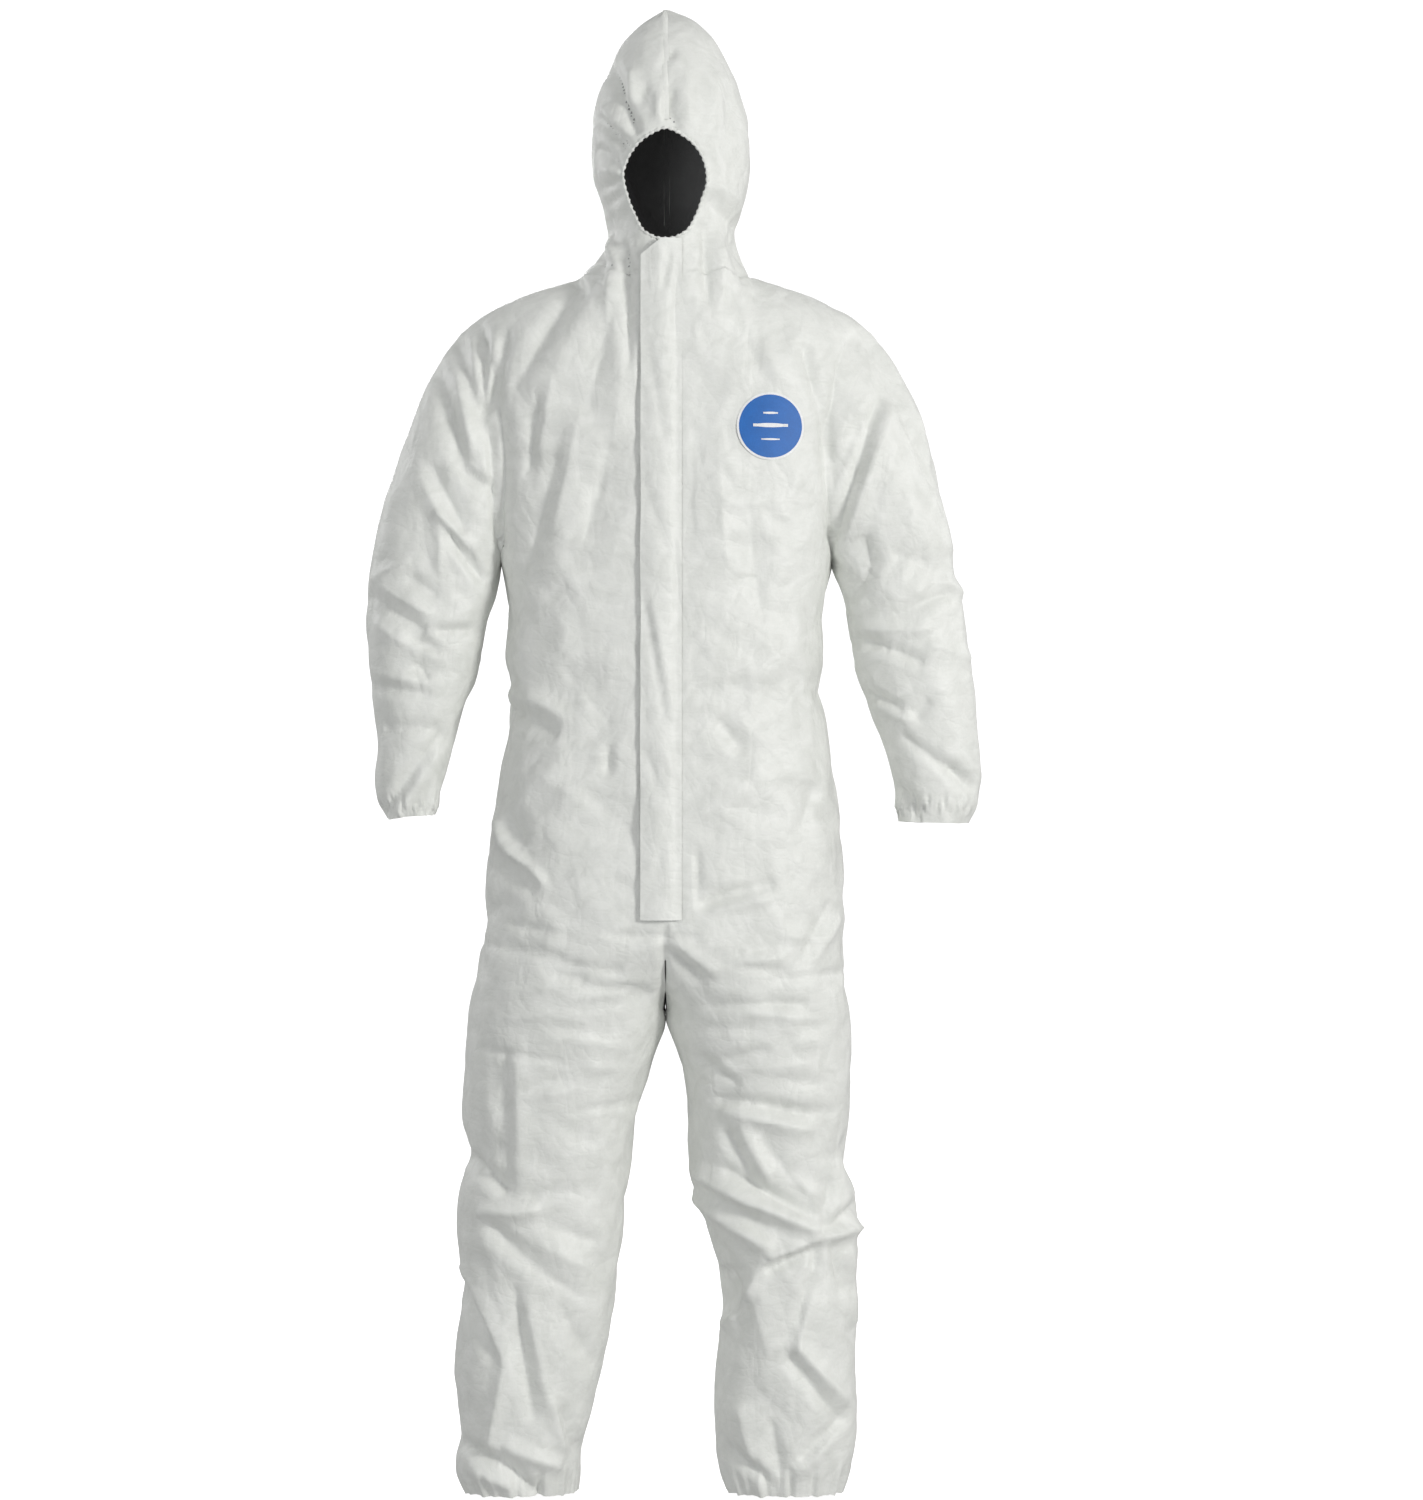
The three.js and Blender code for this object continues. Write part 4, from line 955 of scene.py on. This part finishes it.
def layOnChest(piece, lowest):
    # the flat plate, modelled facing the front, follows the chest
    weights = badgeSurface()
    mesh = piece.data
    flat = pointArray(mesh)
    x, z = flat[:, 0] - badge["across"] / 1000, flat[:, 2] - (badge["height"] - neckHeight) / 1000
    terms = np.stack([np.ones(len(x)), x, z, x * x, x * z, z * z], 1)
    flat[:, 1] += terms @ weights - lowest / 1000
    mesh.vertices.foreach_set("co", flat.ravel())
    mesh.update()


def makePlate(name, sides, halfWidth, halfHeight, above, lowest):
    bpy.ops.object.select_all(action="DESELECT")
    centre = (badge["across"] / 1000, 0, (badge["height"] + above - neckHeight) / 1000)
    bpy.ops.mesh.primitive_circle_add(
        vertices=sides, radius=0.001, fill_type="NGON", location=centre, rotation=(math.pi / 2, 0, 0)
    )
    piece = bpy.context.object
    piece.name = piece.data.name = name
    piece.scale = (halfWidth, halfHeight, 1)
    bpy.ops.object.transform_apply(location=True, rotation=True, scale=True)
    bpy.ops.object.mode_set(mode="EDIT")
    step = min(halfWidth, halfHeight) / 1000
    bpy.ops.mesh.select_all(action="SELECT")
    for _ in range(3):
        bpy.ops.mesh.inset(thickness=step * 0.24, depth=0)
    bpy.ops.mesh.select_all(action="SELECT")
    push = (0, -badge["thickness"] / 1000, 0)
    bpy.ops.mesh.extrude_region_move(TRANSFORM_OT_translate={"value": push})
    bpy.ops.mesh.select_all(action="SELECT")
    bpy.ops.mesh.normals_make_consistent(inside=False)
    bpy.ops.object.mode_set(mode="OBJECT")
    bpy.ops.object.shade_smooth_by_angle(angle=math.radians(40))
    layOnChest(piece, lowest)
    pieces[name] = piece


def makeBadge():
    step = badge["thickness"] * 0.8
    outer = badge["radius"] + badge["border"]
    makePlate("badge_border", 64, outer, outer, 0, badge["clear"])
    makePlate("badge_print", 64, badge["radius"], badge["radius"], 0, badge["clear"] + step)
    for k, (above, halfLength, halfHeight) in enumerate(badgeBars):
        makePlate(f"badge_bar_{k}", 24, halfLength, halfHeight, above, badge["clear"] + 2 * step)


makeBadge()
print("trims made")


class Value:
    # a number that changes over the surface; sums with it add Math nodes
    def __init__(self, shader, socket):
        self.shader = shader
        self.socket = socket

    def join(self, operation, first, second):
        made = self.shader.node("ShaderNodeMath", {"operation": operation}, {0: first, 1: second})
        return Value(self.shader, made.outputs[0])

    def __add__(self, other):
        return self.join("ADD", self, other)

    __radd__ = __add__

    def __mul__(self, other):
        return self.join("MULTIPLY", self, other)

    __rmul__ = __mul__

    def __sub__(self, other):
        return self.join("SUBTRACT", self, other)

    def __rsub__(self, other):
        return self.join("SUBTRACT", other, self)

    def __abs__(self):
        return self.join("ABSOLUTE", self, 0)


class Shader:
    # one material, built from its Principled BSDF backwards
    def __init__(self, name, color, **settings):
        self.material = bpy.data.materials.new(name)
        self.material.use_nodes = True
        self.tree = self.material.node_tree
        self.surface = self.tree.nodes["Principled BSDF"]
        self.material.diffuse_color = (*color, 1)
        self.set("Base Color", (*color, 1))
        for key, value in settings.items():
            self.set(key.replace("_", " "), value)

    def node(self, kind, settings=None, sockets=None):
        made = self.tree.nodes.new(kind)
        for key, value in (settings or {}).items():
            setattr(made, key, value)
        for key, value in (sockets or {}).items():
            self.fill(made.inputs[key], value)
        return made

    def fill(self, socket, value):
        if isinstance(value, Value):
            self.tree.links.new(value.socket, socket)
        elif isinstance(value, bpy.types.NodeSocket):
            self.tree.links.new(value, socket)
        else:
            socket.default_value = value

    def set(self, name, value):
        self.fill(self.surface.inputs[name], value)

    def place(self, scale=(1, 1, 1)):
        # where the point was on the suit at rest, in metres
        source = self.node("ShaderNodeAttribute", {"attribute_name": "restPlace"})
        sockets = {"Vector": source.outputs["Vector"], "Scale": scale}
        return self.node("ShaderNodeMapping", {}, sockets).outputs[0]

    def objectPlace(self):
        return self.node("ShaderNodeTexCoord").outputs["Object"]

    def noise(self, vector, scale, detail=3.0, distortion=0.0, roughness=0.5):
        sockets = {"Vector": vector, "Scale": scale, "Detail": detail, "Roughness": roughness,
                   "Distortion": distortion}
        return Value(self, self.node("ShaderNodeTexNoise", {}, sockets).outputs["Fac"])

    def warped(self, vector, scale, amount):
        # the same place, pushed about by a soft noise, so that cell edges bend
        soft = self.node("ShaderNodeTexNoise", {}, {"Vector": vector, "Scale": scale, "Detail": 2.0})
        push = self.node("ShaderNodeVectorMath", {"operation": "MULTIPLY_ADD"},
                         {0: soft.outputs["Color"], 1: (amount,) * 3, 2: vector})
        return push.outputs[0]

    def cells(self, vector, scale):
        settings = {"feature": "DISTANCE_TO_EDGE"}
        made = self.node("ShaderNodeTexVoronoi", settings, {"Vector": vector, "Scale": scale})
        return Value(self, made.outputs["Distance"])

    def stretched(self, value, low, high, outLow=0.0, outHigh=1.0):
        sockets = {"Value": value, "From Min": low, "From Max": high, "To Min": outLow, "To Max": outHigh}
        return Value(self, self.node("ShaderNodeMapRange", {}, sockets).outputs["Result"])

    def blendColors(self, share, first, second):
        made = self.node("ShaderNodeMix", {"data_type": "RGBA"})
        self.fill(made.inputs["Factor"], share)
        self.fill(made.inputs[6], (*first, 1))
        self.fill(made.inputs[7], (*second, 1))
        return made.outputs[2]

    def bump(self, height, distance, strength=1.0):
        sockets = {"Height": height, "Distance": distance, "Strength": strength}
        self.set("Normal", self.node("ShaderNodeBump", {}, sockets).outputs[0])


look = {
    "cloth": (0.85, 0.862, 0.832), "clothDark": (0.74, 0.755, 0.72), "clothRoughness": 0.46,
    # the hood's inside colours are painted shade: dark greys standing in for the deep shadow inside the
    # hood, whose cloth is white
    "creaseCell": 26.0, "fineCell": 62.0, "creaseDepth": 0.0032, "hoodInsideShade": (0.33, 0.33, 0.333),
    "hoodShadeDark": (0.28, 0.28, 0.283), "hoodShadePale": (0.37, 0.37, 0.374),
    "elastic": (0.78, 0.78, 0.76), "tape": (0.82, 0.82, 0.80), "coil": (0.78, 0.78, 0.75),
    "metal": (0.66, 0.67, 0.68), "blue": (0.008, 0.145, 0.52), "badgeWhite": (0.95, 0.955, 0.96),
}


def clothMaterial():
    shader = Shader("suit_cloth", look["cloth"], Roughness=look["clothRoughness"], Sheen_Weight=0.12)
    place = shader.place()
    cloud = shader.noise(place, 34.0, 5.0, 1.2)
    fibre = shader.noise(shader.warped(place, 120.0, 0.012), 620.0, 3.0, 2.2)
    creases = shader.cells(shader.warped(place, 16.0, 0.035), look["creaseCell"])
    creases = shader.stretched(creases, 0.0, 0.16)
    fine = shader.cells(shader.warped(shader.place((1, 1, 1.5)), 30.0, 0.02), look["fineCell"])
    fine = shader.stretched(fine, 0.0, 0.22)
    ripple = shader.noise(shader.place((1, 1, 4.5)), 24.0, 4.0, 0.8)
    tone = shader.stretched(cloud * 0.6 + fibre * 0.4, 0.36, 0.64)
    shader.set("Base Color", shader.blendColors(tone, look["clothDark"], look["cloth"]))
    shader.set("Roughness", shader.stretched(fibre + cloud * 0.3, 0.4, 0.9, 0.40, 0.56))
    strain = shader.noise(shader.warped(shader.place((1.8, 1.8, 0.8)), 9.0, 0.05), 13.0, 2.0, 0.6)
    drawn = shader.noise(shader.warped(shader.place((1.3, 1.3, 1.0)), 7.0, 0.06), 7.0, 1.5, 0.4)
    # the distance from the middle value, which comes to a sharp valley there, as folded paper does
    sharp = abs(strain - 0.5) * 1.4 + abs(drawn - 0.5) * 2.0
    height = sharp + creases * 0.15 + fine * 0.07 + ripple * 0.16 + fibre * 0.05 + cloud * 0.2
    shader.bump(height, look["creaseDepth"], 0.75)
    return shader.material


def hoodShadeMaterial():
    # the hood's inner side is painted dark grey with soft blotches: painted shade for the deep shadow inside
    # the hood, not a lining the suit has
    shader = Shader("hood_inside_painted_shade", look["hoodInsideShade"], Roughness=0.9, Specular_IOR_Level=0.15)
    shade = shader.noise(shader.place(), 40.0, 3.0, 0.5)
    shader.set("Base Color", shader.blendColors(shade, look["hoodShadeDark"], look["hoodShadePale"]))
    shader.bump(shader.noise(shader.place(), 300.0), 0.0006, 0.4)
    return shader.material


def knittedMaterial(name, color, ribs, objectBased=False):
    # ribbed elastic and woven tape: fine threads one way, finer ones across
    shader = Shader(name, color, Roughness=0.7, Sheen_Weight=0.1)
    place = shader.objectPlace if objectBased else shader.place
    threads = shader.node("ShaderNodeTexWave", {"wave_type": "BANDS", "bands_direction": "Z"},
                          {"Vector": place(), "Scale": ribs, "Distortion": 0.6})
    cross = shader.node("ShaderNodeTexWave", {"wave_type": "BANDS", "bands_direction": "DIAGONAL"},
                        {"Vector": place(), "Scale": ribs * 0.7, "Distortion": 0.4})
    weave = Value(shader, threads.outputs["Fac"]) * 0.6 + Value(shader, cross.outputs["Fac"]) * 0.4
    soil = shader.noise(place(), 55.0, 4.0)
    dark = tuple(channel * 0.82 for channel in color)
    tone = shader.stretched(weave + soil * 0.4, 0.2, 1.1)
    shader.set("Base Color", shader.blendColors(tone, dark, color))
    shader.bump(weave, 0.0002, 0.7)
    return shader.material


def plasticMaterial(name, color, roughness, metallic=0.0, grain=500.0):
    # moulded or enamelled parts, with a fine grain and slight wear
    shader = Shader(name, color, Roughness=roughness, Metallic=metallic)
    place = shader.objectPlace()
    wear = shader.noise(place, 180.0, 4.0, 0.6)
    dark = tuple(channel * 0.8 for channel in color)
    shader.set("Base Color", shader.blendColors(shader.stretched(wear, 0.35, 0.7), dark, color))
    shader.set("Roughness", shader.stretched(wear, 0.3, 0.7, roughness - 0.08, roughness + 0.12))
    shader.bump(shader.noise(place, grain, 2.0), 0.0001, 0.5)
    return shader.material


def printedMaterial(name, color):
    # ink pressed into the cloth, which shows its fibres faintly
    shader = Shader(name, color, Roughness=0.5, Coat_Roughness=0.4)
    place = shader.objectPlace()
    fibre = shader.noise(place, 420.0, 3.0, 2.0)
    cloud = shader.noise(place, 50.0, 3.0)
    dark = tuple(channel * 0.78 for channel in color)
    tone = shader.stretched(fibre * 0.6 + cloud * 0.4, 0.3, 0.65)
    shader.set("Base Color", shader.blendColors(tone, dark, color))
    shader.bump(fibre, 0.0002, 0.5)
    return shader.material


materials = {
    "cloth": clothMaterial(),
    # the next material is the painted shade inside the hood
    "hoodInsideShade": hoodShadeMaterial(),
    "elastic": knittedMaterial("elastic", look["elastic"], 900.0),
    "tape": knittedMaterial("zip_tape", look["tape"], 700.0, objectBased=True),
    "coil": plasticMaterial("zip_coil", look["coil"], 0.35),
    "metal": plasticMaterial("zip_metal", look["metal"], 0.38, metallic=0.6),
    "blue": printedMaterial("badge_blue", look["blue"]),
    "white": printedMaterial("badge_white", look["badgeWhite"]),
}


def paint(piece, *names):
    piece.data.materials.clear()
    for name in names:
        piece.data.materials.append(materials[name])


def paintPieces():
    for name, piece in pieces.items():
        if name == "hood_cloth":
            paint(piece, "cloth", "hoodInsideShade")
            # the hood's inner faces take the dark painted shade
            slots = [0] * len(piece.data.polygons)
            count = (len(slots) - len(rimFaces(groups[name], 0))) // 2
            slots[count:2 * count] = [1] * count
            piece.data.polygons.foreach_set("material_index", slots)
        elif "_band" in name:
            paint(piece, "elastic")
        elif name == "badge_print":
            paint(piece, "blue")
        elif name.startswith("badge"):
            paint(piece, "white")
        else:
            paint(piece, "cloth")
    for name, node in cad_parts.items():
        if name.startswith("zip_tape"):
            paint(node, "tape")
        elif name.startswith("zip_coil"):
            paint(node, "coil")
        elif name.startswith("zip_"):
            paint(node, "metal")
        elif name == "size_label":
            paint(node, "tape")


paintPieces()
print("materials made")


# where each bend of the cloth begins, and where it ends or how far it runs and which way
bends = {
    "crotchRun": 80, "crotchWay": (0.5, 0, -0.87), "knee": (394, 246), "armpitAcross": 190.0,
    "armpitRun": 38, "armpitWay": (0.95, 0, -0.31), "elbow": (1011, 919), "neck": (1440, 1570),
}


def point(x, y, height):
    return tuple(metres((x, y, height)))


def levels(name):
    low, high = bends[name]
    return point(0, 0, low), point(0, 0, high)


def bendAlong(x, height, side, run, way):
    # the start and end of a bend that leaves the trunk sideways and down
    start = np.array([side * x, 0, height])
    end = start + run * np.array([way[0] * side, way[1], way[2]])
    return point(*start), point(*end)


def rideAndBlend():
    for sideName, side in (("left", 1), ("right", -1)):
        hip = bendAlong(0.0, suit["crotch"], side, bends["crotchRun"], bends["crotchWay"])
        for name in ("front_cloth_", "back_cloth_"):
            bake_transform(pieces[name + sideName], "torso", "thigh_" + sideName, *hip)
        shoulder = bendAlong(
            bends["armpitAcross"], suit["armpit"], side, bends["armpitRun"], bends["armpitWay"]
        )
        upper, lower = pieces["upper_sleeve_cloth_" + sideName], pieces["lower_sleeve_cloth_" + sideName]
        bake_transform(upper, "torso", "upper_arm_" + sideName, *shoulder)
        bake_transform(lower, "upper_arm_" + sideName, "forearm_" + sideName, *levels("elbow"))
        leg = pieces["lower_leg_cloth_" + sideName]
        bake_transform(leg, "thigh_" + sideName, "shin_" + sideName, *levels("knee"))
        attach(pieces["wrist_band_" + sideName], "forearm_" + sideName)
        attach(pieces["ankle_band_" + sideName], "shin_" + sideName)
    for name in ("hood_cloth", "face_hem_roll", "crown_binding"):
        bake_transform(pieces[name], "torso", "hood", *levels("neck"))
    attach(pieces["waist_band"], "torso")
    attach(pieces["storm_flap_cloth"], "flap")
    for name, piece in pieces.items():
        if name.startswith("badge"):
            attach(piece, "torso")


def standFor():
    for side in ("_left", "_right"):
        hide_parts("front_panel" + side, "leg_top" + side)
        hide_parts("back_panel" + side, "thigh" + side)
        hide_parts("knee_zone" + side, "lower_leg" + side,
                    "ankle_hem" + side)
        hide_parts("ankle_elastic" + side)
        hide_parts("sleeve_head" + side, "upper_sleeve" + side)
        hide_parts("elbow_zone" + side, "lower_sleeve" + side,
                    "wrist_hem" + side)
        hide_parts("wrist_elastic" + side)
    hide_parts("hood_side_left", "hood_side_right", "hood_neck")
    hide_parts("face_hem", "face_elastic")
    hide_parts("hood_binding")
    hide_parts("waist_elastic")
    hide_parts("storm_flap")
    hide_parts("chest_badge")
    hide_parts("badge_backing")


def nameSlots():
    for name, piece in pieces.items():
        if "_band" in name:
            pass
        elif name == "badge_print":
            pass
        elif name.startswith("badge"):
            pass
        else:
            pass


rideAndBlend()
standFor()
nameSlots()


stage = {"floorGap": 0.004, "radius": 14.0, "white": (0.9, 0.9, 0.9), "glow": 0.92, "worldStrength": 0.38}
lamps = {
    # place, where it points, size, power, colour
    "key": ((3.6, -3.5, 0.6), (0, 0, -0.7), 1.2, 128, (1, 0.99, 0.97)),
    "fill": ((-1.6, -4.6, -0.5), (0, 0, -0.8), 2.0, 38, (0.97, 0.99, 1)),
    "rimLeft": ((-2.6, 1.6, 0.8), (0, 0, -0.5), 1.6, 22, (1, 1, 1)),
    "rimRight": ((2.8, 1.4, 0.6), (0, 0, -0.5), 1.6, 16, (1, 1, 1)),
    "top": ((0, -0.6, 2.8), (0, 0, -0.2), 1.8, 5, (1, 1, 1)),
    "back": ((-0.6, 4.6, 0.6), (0, 0, -0.6), 1.8, 45, (1, 1, 1)),
}


def makeStage():
    # a pale round floor under a pale dome that holds the lights and every view
    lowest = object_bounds()[0].z - stage["floorGap"]
    shader = Shader("stage_white", stage["white"], Roughness=0.9, Emission_Strength=stage["glow"])
    shader.set("Emission Color", (1, 1, 1, 1))
    bpy.ops.object.select_all(action="DESELECT")
    bpy.ops.mesh.primitive_circle_add(
        vertices=96, radius=stage["radius"], fill_type="NGON", location=(0, 0, lowest)
    )
    bpy.context.object.name = "floor"
    bpy.ops.object.transform_apply(location=True, rotation=True, scale=True)
    floor = bpy.context.object
    bpy.ops.object.select_all(action="DESELECT")
    bpy.ops.mesh.primitive_uv_sphere_add(
        segments=64, ring_count=32, radius=stage["radius"] * 1.02, location=(0, 0, lowest)
    )
    bpy.context.object.name = "backdrop"
    bpy.ops.object.transform_apply(location=True, rotation=True, scale=True)
    for sheet in (floor, bpy.context.object):
        sheet.data.materials.append(shader.material)
        sheet.visible_diffuse = False
        sheet.visible_glossy = False
        sheet.visible_shadow = False


def makeLights():
    world = bpy.data.worlds.new("studio")
    world.use_nodes = True
    world.node_tree.nodes["Background"].inputs["Color"].default_value = (1, 1, 1, 1)
    world.node_tree.nodes["Background"].inputs["Strength"].default_value = stage["worldStrength"]
    bpy.context.scene.world = world
    for name, (place, aim, size, power, color) in lamps.items():
        data = bpy.data.lights.new(name, "AREA")
        data.shape = "DISK"
        data.size = size
        data.energy = power
        data.color = color
        lamp = bpy.data.objects.new(name, data)
        lamp.location = place
        lamp.rotation_euler = (Vector(aim) - Vector(place)).to_track_quat("-Z", "Y").to_euler()
        bpy.context.scene.collection.objects.link(lamp)


makeStage()
makeLights()
bpy.context.scene.view_settings.view_transform = "Standard"
print("stage and lights made")
